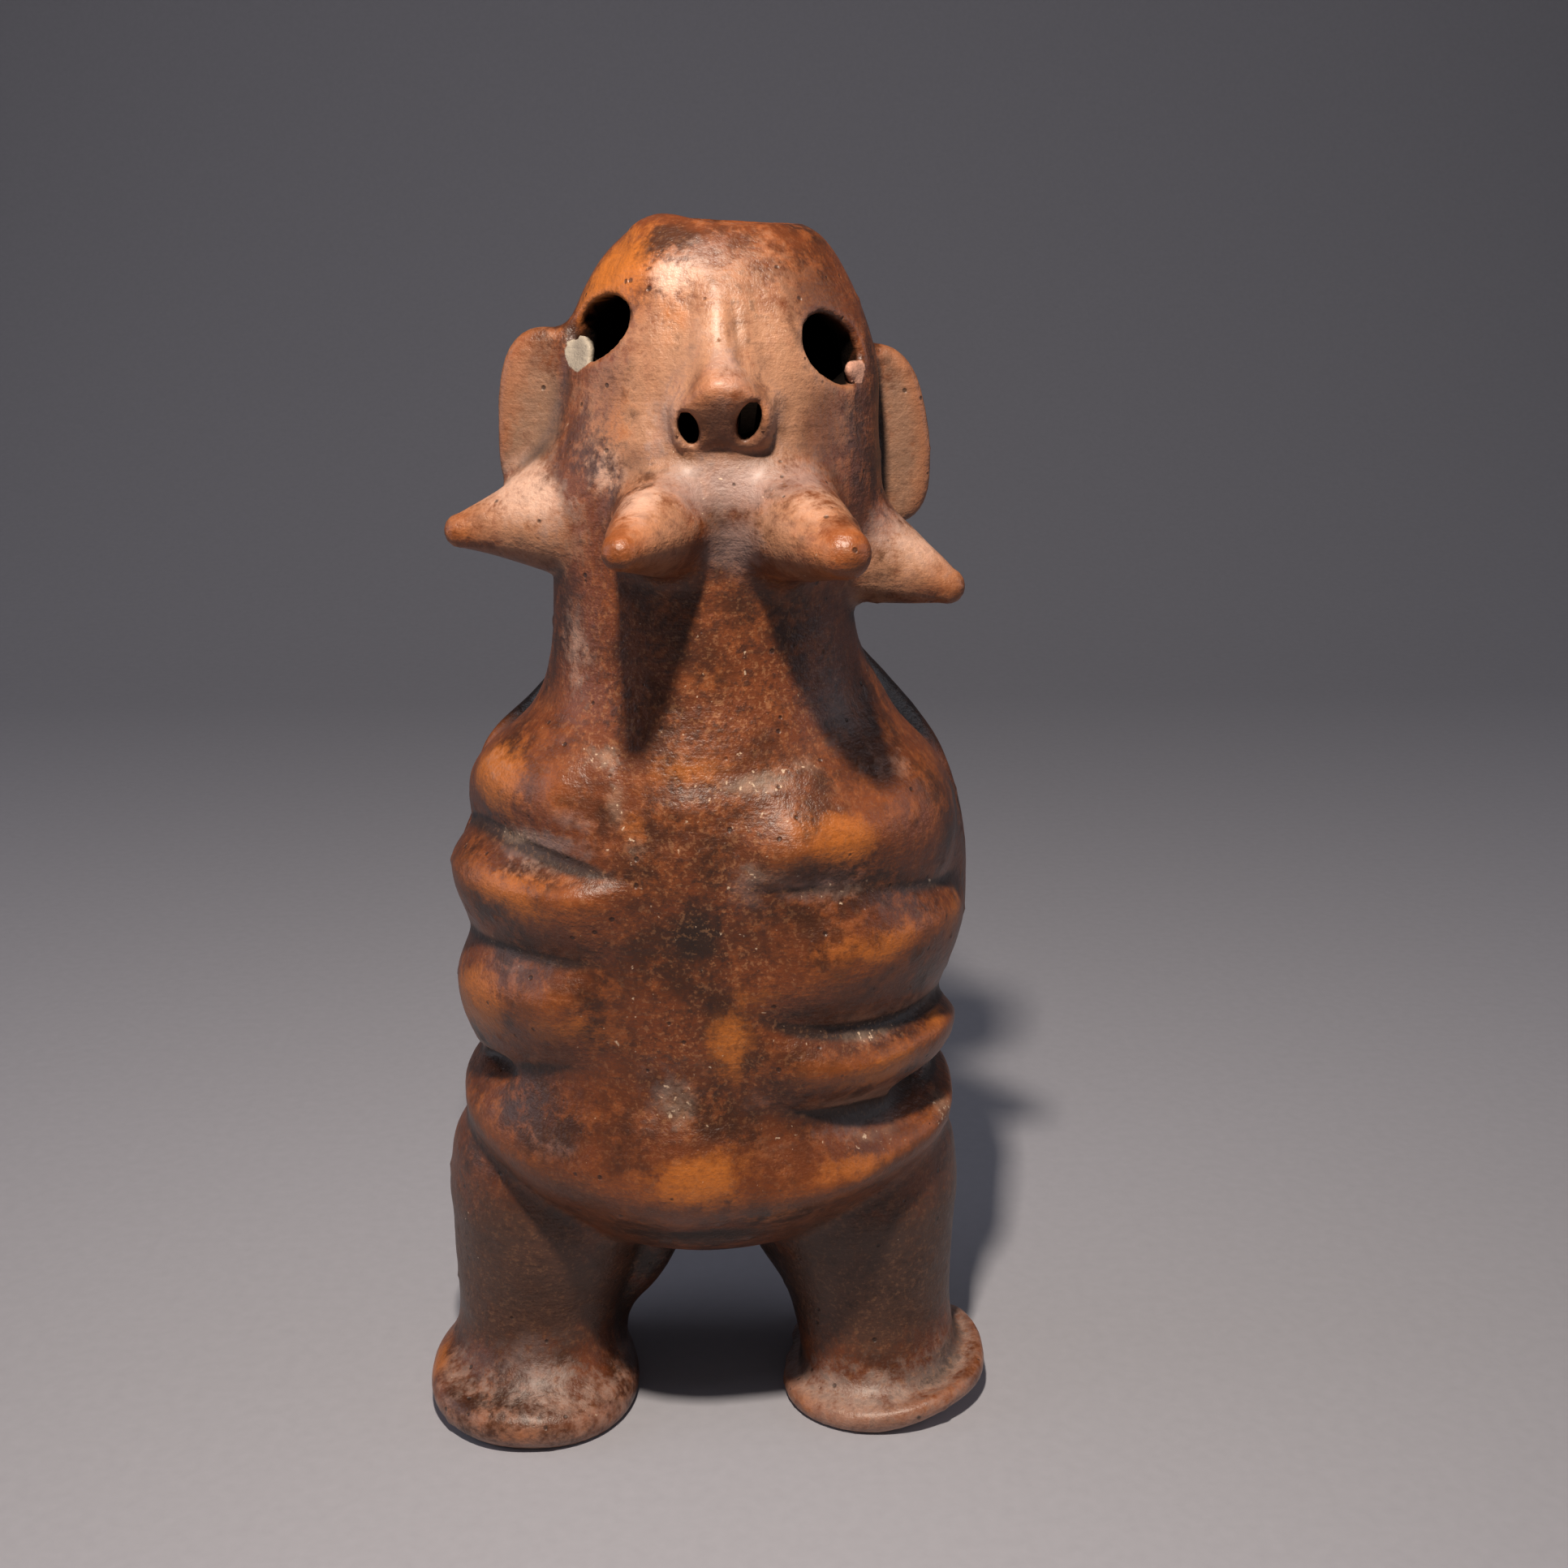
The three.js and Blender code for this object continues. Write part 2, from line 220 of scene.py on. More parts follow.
# %% Valley between the shoulders and the back
VALLEYS = [
    ((-33, 11, 224), (-41, 11, 211), (-52, 12, 199.5), (-63, 13, 184), (-70, 16, 158)),
    ((33, 11, 227), (41, 11, 214), (52.5, 12, 204), (65.5, 13, 189.5), (75, 16, 162)),
]
VALLEY_RADII = (0.5, 5, 7, 5.5, 0.5)
for path in VALLEYS:
    ends = np.array(path)
    cut, x, y, z = near(ends.min(0) - 20, ends.max(0) + 20)
    tool = None
    for i in range(len(path) - 1):
        stretch = taper(x, y, z, path[i:i + 2], VALLEY_RADII[i:i + 2])
        tool = stretch if tool is None else np.minimum(tool, stretch)
    clay[cut] = cut_away(clay[cut], tool, 6)

# %% [markdown]
# ## Pockets
# Below the third fold on each side a finger was pushed in deep, and there the clay folds over a dark
# pocket. Each is an oval tool pressed into the flank.

# %% Pockets under the lowest folds
POCKETS = [
    dict(angle=-70, z=106.5, size=(15, 7.0, 3.6), tilt=8),
    dict(angle=68, z=101.5, size=(18, 9, 4.4), tilt=5),
]


def on_flank(angle, depth):
    """A point on the body's plan at an angle from the front, depth inside its outline"""
    a = math.radians(angle)
    reach = 1 / math.hypot(math.sin(a) / BODY["half_width"], math.cos(a) / BODY["half_depth"]) - depth
    return BODY["x"] + reach * math.sin(a), BODY["y"] - reach * math.cos(a)


for p in POCKETS:
    px, py = on_flank(p["angle"], -1)
    a, tilt = math.radians(p["angle"]), math.radians(p["tilt"])
    cut, x, y, z = near((px - 24, py - 24, p["z"] - 16), (px + 24, py + 24, p["z"] + 16))
    along = (x - px) * math.cos(a) + (y - py) * math.sin(a)
    out = (x - px) * math.sin(a) - (y - py) * math.cos(a)
    up = (z - p["z"]) * math.cos(tilt) - along * math.sin(tilt)
    along = along * math.cos(tilt) + (z - p["z"]) * math.sin(tilt)
    tool = oval(along, out, up, *p["size"])
    clay[cut] = cut_away(clay[cut], tool, 2.5)

# %% [markdown]
# ## Legs and feet
# Each leg is a thick roll of clay that widens to the thigh, set on a flattened pad that is the foot. The
# pad's rim is rounded by the fingers and the instep runs up into the shin in one hollow curve. The roll has
# a radius at each height, and the pad is an oval slab with a round edge. The seam to the belly is left
# tight, because the belly hangs over it.

# %% Two legs
LEG_RADII = ((0, 21), (12, 24.6), (21, 25.6), (32, 26), (46, 28.4), (60, 30), (78, 28), (90, 20), (99, 6))
LEGS = [
    dict(x=-50.3, y=1, foot=(-1, -13), hip=3, depth=1.10),
    dict(x=43.6, y=1, foot=(3.6, -9), hip=-3, depth=1.08),
]
PADS = [
    dict(x=-52.6, y=-12, half=(29.8, 33.6), high=9.5, edge=4.2, corner=2.2, curl=1.5, curl_angle=-40,
         instep=13),
    dict(x=47.6, y=-8.5, half=(30.6, 32.8), high=6.6, edge=2.9, corner=2.3, curl=5.5, curl_angle=75,
         instep=8),
]
ANKLE = 26
THIGH = 56
HIP_SEAM = 4
# webs of clay that round off the arch between the legs
GUSSETS = [
    dict(path=((-17, -2, 47), (-33, -2, 10)), radii=(9, 8, 6)),
    dict(path=((17, -2, 47), (31, -2, 12)), radii=(7, 6, 4)),
]


def shin(l, wall=0):
    forward = 1 - smooth(Z, 0, ANKLE)
    u = X - l["x"] - l["foot"][0] * forward - l["hip"] * smooth(Z, ANKLE, THIGH)
    v = (Y - l["y"] - l["foot"][1] * forward) / l["depth"]
    heights, radii = zip(*LEG_RADII)
    steps = np.arange(-20, 120.0)
    drawn = np.convolve(np.interp(steps, heights, radii), np.hanning(17) / np.hanning(17).sum(), "same")
    radius = np.interp(Z, steps, drawn).astype(np.float32)
    side = np.hypot(u, v) - radius + wall
    return np.maximum(side, Z - heights[-1] + wall)


def pad(p):
    u, v = X - p["x"], Y - p["y"]
    n = p["corner"]
    angle = np.degrees(np.arctan2(u, -v))
    toward = np.cos(np.radians(angle - p["curl_angle"]))
    size = (np.abs(u / p["half"][0]) ** n + np.abs(v / p["half"][1]) ** n + 1e-6) ** (1 / n)
    plan = (size - 1) * min(p["half"])
    z = Z - p["curl"] * smooth(size, 0.62, 1.05) * smooth(toward, 0.1, 0.9)
    edge = p["edge"]
    side, level = plan + edge, np.abs(z - p["high"] / 2) - p["high"] / 2 + edge
    return np.hypot(np.maximum(side, 0), np.maximum(level, 0)) + np.minimum(np.maximum(side, level), 0) - edge


for l, p in zip(LEGS, PADS):
    limb = pressed(shin(l), pad(p), p["instep"])
    clay = pressed(clay, limb, HIP_SEAM)
for g in GUSSETS:
    ends = np.array(g["path"])
    cut, x, y, z = near(ends.min(0) - 16, ends.max(0) + 16)
    clay[cut] = pressed(clay[cut], taper(x, y, z, g["path"], g["radii"]), 5)
print("legs joined")

# %% [markdown]
# ## Horns
# Four blunt horns stand out round the jaw. Each is a rolled cone of clay stuck on while wet, and its root
# was smeared on to the cheek, so it widens there. The outer two have a web that climbs towards the ear.

# %% Horns round the jaw
HORNS = [
    dict(root=(-29, -9, 256.6), tip=(-62.6, -14.8, 253.0),
         radii=(17.8, 16.4, 13.4, 10.2, 7.3, 4.6), smear=1.6),
    dict(root=(-7.5, -31, 258.5), tip=(-20.0, -71.6, 257.0),
         radii=(14, 13, 11, 9, 7.0, 4.8), smear=5),
    dict(root=(17, -31, 258), tip=(31.0, -67.3, 255.7),
         radii=(14.5, 13.4, 11.8, 10, 8.2, 5.9), smear=7),
    dict(root=(33, -6, 248), tip=(62, -13.2, 237.4),
         radii=(16, 14.2, 12.2, 10.2, 7.9, 5.2), smear=4.5),
]
WEBS = [
    dict(path=((-41, -11, 260), (-31, -10, 271)), radii=(8.5, 7)),
    dict(path=((44, -9, 246), (34, -8, 261)), radii=(8.5, 7)),
]
for h in HORNS:
    ends = np.array([h["root"], h["tip"]])
    cut, x, y, z = near(ends.min(0) - 30, ends.max(0) + 22)
    roll = taper(x, y, z, (h["root"], h["tip"]), h["radii"])
    clay[cut] = pressed(clay[cut], roll, h["smear"])
for w in WEBS:
    ends = np.array(w["path"])
    cut, x, y, z = near(ends.min(0) - 20, ends.max(0) + 20)
    clay[cut] = pressed(clay[cut], taper(x, y, z, w["path"], w["radii"]), 5)
print("horns joined")

# %% [markdown]
# ## Ears
# The ears are flat tabs of clay cut with a knife, squarish with rounded corners. The one on the viewer's
# left was thumbed flush with the cheek, and the other stands a little behind it with a dark gap. A rounded
# square with a power curve for its outline gives the tab, and it is tilted and turned about the upright.

# %% Flat ears
EARS = [
    dict(x=-38.5, y=-6, z=280.4, reach=14.8, half=22.6, tilt=2, turn=-12,
         thick=7, corner=3.2, widen=0.08, seam=4.5),
    dict(x=42.2, y=8, z=273.8, reach=16.4, half=24.4, tilt=0, turn=10,
         thick=7.5, corner=2.9, widen=0.19, seam=2),
]
EAR_EDGE = 2.8
for e in EARS:
    cut, x, y, z = near((e["x"] - 28, e["y"] - 16, e["z"] - 32), (e["x"] + 28, e["y"] + 16, e["z"] + 32))
    turn, tilt = math.radians(e["turn"]), math.radians(e["tilt"])
    x, y, z = x - e["x"], y - e["y"], z - e["z"]
    x, y = x * math.cos(turn) + y * math.sin(turn), y * math.cos(turn) - x * math.sin(turn)
    x, z = x * math.cos(tilt) - z * math.sin(tilt), z * math.cos(tilt) + x * math.sin(tilt)
    n = e["corner"]
    x = x / (1 - e["widen"] * z / e["half"])
    plan = ((np.abs(x / e["reach"]) ** n + np.abs(z / e["half"]) ** n + 1e-6) ** (1 / n) - 1) * e["reach"]
    side, level = plan + EAR_EDGE, np.abs(y) - e["thick"] / 2 + EAR_EDGE
    rounded = np.hypot(np.maximum(side, 0), np.maximum(level, 0))
    tab = rounded + np.minimum(np.maximum(side, level), 0) - EAR_EDGE
    clay[cut] = pressed(clay[cut], tab, e["seam"])
print("ears joined")

# %% [markdown]
# ## Nose
# The nose is a ridge of clay pinched out of the face between two shallow thumb strokes, each with a finer
# crease beside the bridge. It ends in a rounded tip with a wing to each side. A flat cut slopes back from
# under the tip, and at its foot the edge is crisp and stands clear of the lip, so the seam to the face is
# tight there and wide higher up.

# %% Nose
NOSE = dict(
    ridge=((1.8, -20.3, 320), (3.4, -39.4, 288)), ridge_radii=(6.5, 8.4, 10.2),
    tip=(3.6, -42.5, 288.5), tip_size=(8.2, 9.4, 6.6),
    wings=((-3.2, -39.5, 283.6), (9.9, -39.5, 284.2)), wing_size=(6.0, 9.6, 9.4),
    lower_edge=276.2, slope=0.09, sliced_at=(-51.4, 290), sliced_facing=(-13.5, -8.3),
)
NOSE_SEAM = (1.2, 4.5)
STROKES = [
    (((-7.0, -37.0, 322), (-8.8, -46.0, 294)), (1.8, 3.6, 4.0)),
    (((13.0, -37.6, 320), (15.0, -45.6, 295)), (1.8, 3.6, 4.0)),
    (((-3.4, -36.0, 312), (-5.0, -42.6, 297)), (0.8, 1.6, 1.4)),
    (((6.2, -36.4, 311), (8.4, -43.4, 297)), (0.8, 1.5, 1.3)),
]
cut, x, y, z = near((-18, -60, 262), (26, -16, 328))
nose = taper(x, y, z, NOSE["ridge"], NOSE["ridge_radii"])
tx, ty, tz = NOSE["tip"]
nose = pressed(nose, oval(x - tx, y - ty, z - tz, *NOSE["tip_size"]), 5)
for wx, wy, wz in NOSE["wings"]:
    nose = pressed(nose, oval(x - wx, y - wy, z - wz, *NOSE["wing_size"]), 3.5)
under = NOSE["lower_edge"] + NOSE["slope"] * (x - 3) - z
nose = -pressed(-nose, -under, 0.8)
(slice_y, slice_z), (out_y, out_z) = NOSE["sliced_at"], NOSE["sliced_facing"]
slant = np.linalg.norm(NOSE["sliced_facing"])
sliced = (y - slice_y) * (out_y / slant) + (z - slice_z) * (out_z / slant)
nose = -pressed(-nose, -sliced, 2.0)
seam = NOSE_SEAM[0] + (NOSE_SEAM[1] - NOSE_SEAM[0]) * smooth(z, 278, 290)
face = pressed(clay[cut], nose, seam)
for stroke, radii in STROKES:
    face = cut_away(face, taper(x, y, z, stroke, radii), 1.6 * max(radii))
clay[cut] = face

# %% [markdown]
# ## Crown
# The dome was pressed flat round the pouring hole, and dips to the viewer's right. A lip is raised at its
# left, and a low bump stands on the brow under it.

# %% Crown and brow
CROWN = dict(x=4, z=329.4, dip=3, blend=4.5)
above = Z - CROWN["z"] + (X - CROWN["x"]) * math.tan(math.radians(CROWN["dip"]))
clay = -pressed(-clay, -above, CROWN["blend"])
BUMPS = [
    ("lip", (-9, -12, 325), (9, 9, 4.4), 5),
    ("brow", (-8, -21.5, 315), (10, 7.5, 8), 8),
    ("shelf over the horns", (6, -31, 264), (17, 10, 8), 9),
    ("belly", (-6.7, -46, 92), (15, 9, 13), 10),
]
for name, middle, size, blend in BUMPS:
    reach = max(size) + blend
    cut, x, y, z = near([m - reach for m in middle], [m + reach for m in middle])
    bump = oval(x - middle[0], y - middle[1], z - middle[2], *size)
    clay[cut] = pressed(clay[cut], bump, blend)
# Places where the palm pressed the wall in, or left it fuller: middle, reach, and millimetres outwards
PALM = [
    ((37, -10, 311), (15, 18, 14), -1.3),
    ((-4, -54, 158), (13, 14, 24), -1.6),
    ((11, -47, 191), (9, 9, 3.6), 0.7),
    ((-6, -47, 189), (8, 9, 3.4), 1.1),
    ((25, -41, 195), (8, 9, 3.4), 0.6),
    ((-26, -42, 193), (4, 8, 7), 1.0),
    ((3, -52, 126), (9, 10, 9), 0.9),
    ((-8, -52, 113), (7, 9, 4), 0.8),
    ((28, -47, 84), (18, 9, 4), 1.3),
    ((32, -44, 73), (20, 9, 5), -1.4),
    ((17, 3, 14), (11, 19, 16), -6.5),
    ((-24, 0, 16), (10, 20, 14), -3.6),
]
for middle, size, out in PALM:
    reach = 2.2 * max(size)
    cut, x, y, z = near([m - reach for m in middle], [m + reach for m in middle])
    off = sum(((line - m) / r) ** 2 for line, m, r in zip((x, y, z), middle, size))
    clay[cut] = clay[cut] - out * np.exp(-off)
print("bumps", [b[0] for b in BUMPS])

# %% [markdown]
# ## Unevenness of the hand
# No surface made by hand is true. Random dents from a coarse lattice, smoothed between its points, give the
# slow wobble of the wall, and a finer lattice gives the marks of the fingertips.

# %% Hand dents
def dents(size, seed):
    """Smooth random hollows and bumps about as wide as size, roughly between -1 and 1"""
    rng = np.random.default_rng(seed)
    values = rng.uniform(-1, 1, [int((line[-1] - line[0]) / size) + 5 for line in LINES]).astype(np.float32)
    for axis, line in enumerate(LINES):
        place = (line - line[0]) / size
        base = place.astype(int)
        t = (place - base).astype(np.float32)
        weights = ((1 - t) ** 3, 3 * t ** 3 - 6 * t ** 2 + 4, -3 * t ** 3 + 3 * t ** 2 + 3 * t + 1, t ** 3)
        shape = [1, 1, 1]
        shape[axis] = len(line)
        values = sum(np.take(values, base + i, axis) * (w / 6).reshape(shape) for i, w in enumerate(weights))
    return values


# how wide the dents are, mm, and the seed of their lattice
slow, knuckle, finger = dents(26, 3), dents(15, 8), dents(9, 5)
SLOW, KNUCKLE, FINGER = 1.5, 1.1, 0.7    # how deep they go, mm
ON_HEAD, NECK_TOP = 0.3, (200, 225)      # share of the knuckle marks on the head, and where that begins
LEVEL_SOLE = 8                           # height over which the dents fade out towards the soles
on_body = ON_HEAD + (1 - ON_HEAD) * (1 - smooth(Z, *NECK_TOP))
uneven = SLOW * slow + KNUCKLE * knuckle * on_body + FINGER * finger
clay = clay - uneven * smooth(Z, 0, LEVEL_SOLE)
print("dents up to", round(float(np.abs(uneven).max()), 1), "mm")

# %% [markdown]
# ## Hollow
# The walls are about 7 mm thick all through, and the legs are hollow down to their soles. The hollow
# follows the trunk before its folds, but never comes nearer to the skin than THIN, so that the pockets
# don't break through. Eyes, nostrils and the pouring hole are cut from outside into it.

# %% Hollow inside
WALL = 7
SOLE = 9
THIN = 4.2
outside = clay.copy()
hollow = plain_trunk + WALL
hollow = -pressed(-hollow, -(above + WALL), 3)
for l in LEGS:
    hollow = pressed(hollow, np.maximum(shin(l, WALL), SOLE - Z), 5)
hollow = np.maximum(hollow, outside + THIN)
clay = np.maximum(outside, -hollow)

# %% [markdown]
# ## Holes
# The pouring hole is cut round in the crown. The eyes and nostrils are punched from the front with a tool
# whose shape carries the finest of the dents, so that their edges are not quite even.

# %% Pouring hole, eyes and nostrils
MOUTH = dict(x=5.4, y=-2, radius=15.4, bottom=306, edge=4)
cut, x, y, z = near((-20, -28, 300), (32, 24, 336))
hole = np.maximum(np.hypot(x - MOUTH["x"], y - MOUTH["y"]) - MOUTH["radius"], MOUTH["bottom"] - z)
clay[cut] = cut_away(clay[cut], hole, MOUTH["edge"])

# Each is an oval tool pushed in square to the head; lean turns it clockwise as it is seen from outside
EYES = [
    dict(turn=-59.0, z=303.0, half=(12.6, 7.6), lean=-17, square=2.2),
    dict(turn=48.4, z=298.4, half=(10.8, 7.6), lean=25, square=2.2),
]
NOSTRILS = [
    dict(turn=0, z=281.6, x=-4.3, half=(2.5, 4.4), lean=-14, square=2.0),
    dict(turn=0, z=283.4, x=9.9, half=(2.8, 4.7), lean=16, square=2.0),
]
PUNCH_FROM = 12      # how far from the middle of the head the tool's point stops
PUNCHED_EDGE = 1.6
HEAD_REACH = 46
PUNCH_ROOM = 34
for tool in EYES + NOSTRILS:
    centre = tool.get("x", HEAD["x"])
    a = math.radians(tool["turn"])
    half_way = HEAD_REACH / 2
    middle = (centre + half_way * math.sin(a), HEAD["y"] - half_way * math.cos(a), tool["z"])
    cut, x, y, z = near([m - PUNCH_ROOM for m in middle], [m + PUNCH_ROOM for m in middle])
    along = (x - centre) * math.cos(a) + (y - HEAD["y"]) * math.sin(a)
    out = (x - centre) * math.sin(a) - (y - HEAD["y"]) * math.cos(a)
    lean, n = math.radians(tool["lean"]), tool["square"]
    wide = (along * math.cos(lean) - (z - tool["z"]) * math.sin(lean)) / tool["half"][0]
    high = (along * math.sin(lean) + (z - tool["z"]) * math.cos(lean)) / tool["half"][1]
    punch = ((np.abs(wide) ** n + np.abs(high) ** n + 1e-6) ** (1 / n) - 1) * min(tool["half"])
    punch = np.maximum(punch + FINGER * finger[cut], PUNCH_FROM - out)
    clay[cut] = cut_away(clay[cut], punch, PUNCHED_EDGE)

# Lumps of filler left in the outer corners of the eyes: middle, size, and how far they stand out of the
# skin, with a minus where they stay below it
FILLERS = [
    ((-32.0, -17.0, 297.6), (5.2, 7.0, 4.2), -0.7),
    ((36.6, -22.4, 293.2), (3.0, 4.6, 2.6), -0.3),
]
for middle, size, proud in FILLERS:
    cut, x, y, z = near([m - 12 for m in middle], [m + 12 for m in middle])
    lump = np.maximum(oval(x - middle[0], y - middle[1], z - middle[2], *size), outside[cut] - proud)
    clay[cut] = pressed(clay[cut], lump, 0.8)
print("holes cut")

# %% [markdown]
# ## From field to mesh
# openvdb walks through the field and lays quads where it crosses zero. The soles are then pressed flat on
# the ground, and the inner wall, which is hardly seen, is thinned to fewer faces.

# %% Mesh from the field
clay = np.maximum(clay, -Z).astype(np.float32)
OPEN_AIR = 8.0       # the field's value where nothing was copied
SOLE_LAYER = 0.45    # points below this are the soles, mm
volume = openvdb.FloatGrid(OPEN_AIR)
volume.copyFromArray(clay)
points, quads = volume.convertToQuads(isovalue=0.0)
points = points * STEP + np.array([line[0] for line in LINES])
soles = points[:, 2] < SOLE_LAYER
points[soles, 2] = 0
print(len(points), "points", len(quads), "quads")


def sample(field, at):
    """The field's value at each of many points, between the grid's own"""
    place = [(at[:, i] - LINES[i][0]) / STEP for i in range(3)]
    base = [np.clip(p.astype(int), 0, len(LINES[i]) - 2) for i, p in enumerate(place)]
    rest = [p - b for p, b in zip(place, base)]
    total = np.zeros(len(at))
    for corner in range(8):
        bits = [(corner >> i) & 1 for i in range(3)]
        weight = np.prod([r if b else 1 - r for r, b in zip(rest, bits)], axis=0)
        total += weight * field[base[0] + bits[0], base[1] + bits[1], base[2] + bits[2]]
    return total


mesh = bpy.data.meshes.new("vessel_clay")
# Known fault: the reversed order of corners turns every face inwards, so all normals from here on point into
# the clay. What is below was matched to the photo with them, and it has to be turned round with them.
mesh.from_pydata((points + SHIFT) * MM, [], quads[:, ::-1])
mesh.update()
vessel = bpy.data.objects.new("vessel_clay", mesh)
bpy.context.scene.collection.objects.link(vessel)

# %% [markdown]
# ## Fewer faces inside
# The hollow can only be seen through the holes, so it needs few faces. A Decimate modifier takes them there
# first, because the points of the inner wall have a heavier weight, and the skin keeps nearly all of its
# own.

# %% Thin the inner wall
deep = sample(outside, points)
group = vessel.vertex_groups.new(name="inner_wall")
INNER, OUTER, WALL_MIDDLE, FAR = 1.0, 0.12, -3.0, 99
for share, low, high in ((INNER, -FAR, WALL_MIDDLE), (OUTER, WALL_MIDDLE, FAR)):
    chosen = np.flatnonzero((deep >= low) & (deep < high))
    group.add(chosen.tolist(), share, "REPLACE")
MOST_TRIANGLES = 186000
thin = vessel.modifiers.new("thin", "DECIMATE")
thin.ratio = MOST_TRIANGLES / (2 * len(quads))
thin.vertex_group = group.name
evaluated = vessel.evaluated_get(bpy.context.evaluated_depsgraph_get())
thinned = bpy.data.meshes.new_from_object(evaluated)
vessel.modifiers.remove(thin)
vessel.vertex_groups.clear()
vessel.data = thinned
vessel.data.name = "vessel_clay"
print("triangles after thinning", sum(len(p.vertices) - 2 for p in vessel.data.polygons))

# %% [markdown]
# ## What the finish follows
# On the real figure the colour is no pattern laid over it. Rubbing made what stands up bright and orange,
# and smoke and dirt stayed in the creases; the material darkens the creases further as painted shade. So
# the points of the mesh carry numbers for the material to read: how far a fold lifts the skin, whether the
# place is raised or sunk beside its neighbours, and whether it is inside. Painting a texture would do it
# too, but these follow the form by themselves.

# %% Numbers that follow the form
def softened(field, size):
    """The field averaged over a box about size wide"""
    half = max(round(size / STEP / 2), 1)
    for axis in range(3):
        room = [(0, 0)] * 3
        room[axis] = (half + 1, half)
        total = np.cumsum(np.pad(field, room, mode="edge"), axis=axis, dtype=np.float64)
        length = field.shape[axis]
        first = np.take(total, range(0, length), axis=axis)
        last = np.take(total, range(2 * half + 1, 2 * half + 1 + length), axis=axis)
        field = ((last - first) / (2 * half + 1)).astype(np.float32)
    return field


spots = np.zeros(len(thinned.vertices) * 3)
thinned.vertices.foreach_get("co", spots)
spots = spots.reshape(-1, 3) / MM - SHIFT
FULL_FOLD = 7.5             # the rise of a full fold, mm
FOLDED = (140, 84, 74)      # middle height of the folded body, and how far from it the number fades
SKIN_DEPTH = 12             # distances beyond this say nothing about the relief, mm
FINE, BROAD = 6, 20         # how wide a neighbourhood the skin is set against, mm
INNER_EDGE = (-2.6, -1.2)   # how deep under the skin the inner wall begins, mm
skin = np.clip(outside, -SKIN_DEPTH, SKIN_DEPTH)
facing = np.zeros(len(spots) * 3)
thinned.vertices.foreach_get("normal", facing)
traits = {
    "fold": sample(folds, spots) / FULL_FOLD * smooth(np.abs(spots[:, 2] - FOLDED[0]), *FOLDED[1:]),
    "facing_down": facing.reshape(-1, 3)[:, 2],     # the normals point inwards, so undersides have the most
    "fine_relief": sample(softened(skin, FINE) - skin, spots),
    "broad_relief": sample(softened(skin, BROAD) - skin, spots),
    "inside": 1 - smooth(sample(outside, spots), *INNER_EDGE),
}
for name, values in traits.items():
    print(name, "from", round(float(values.min()), 2), "to", round(float(values.max()), 2))
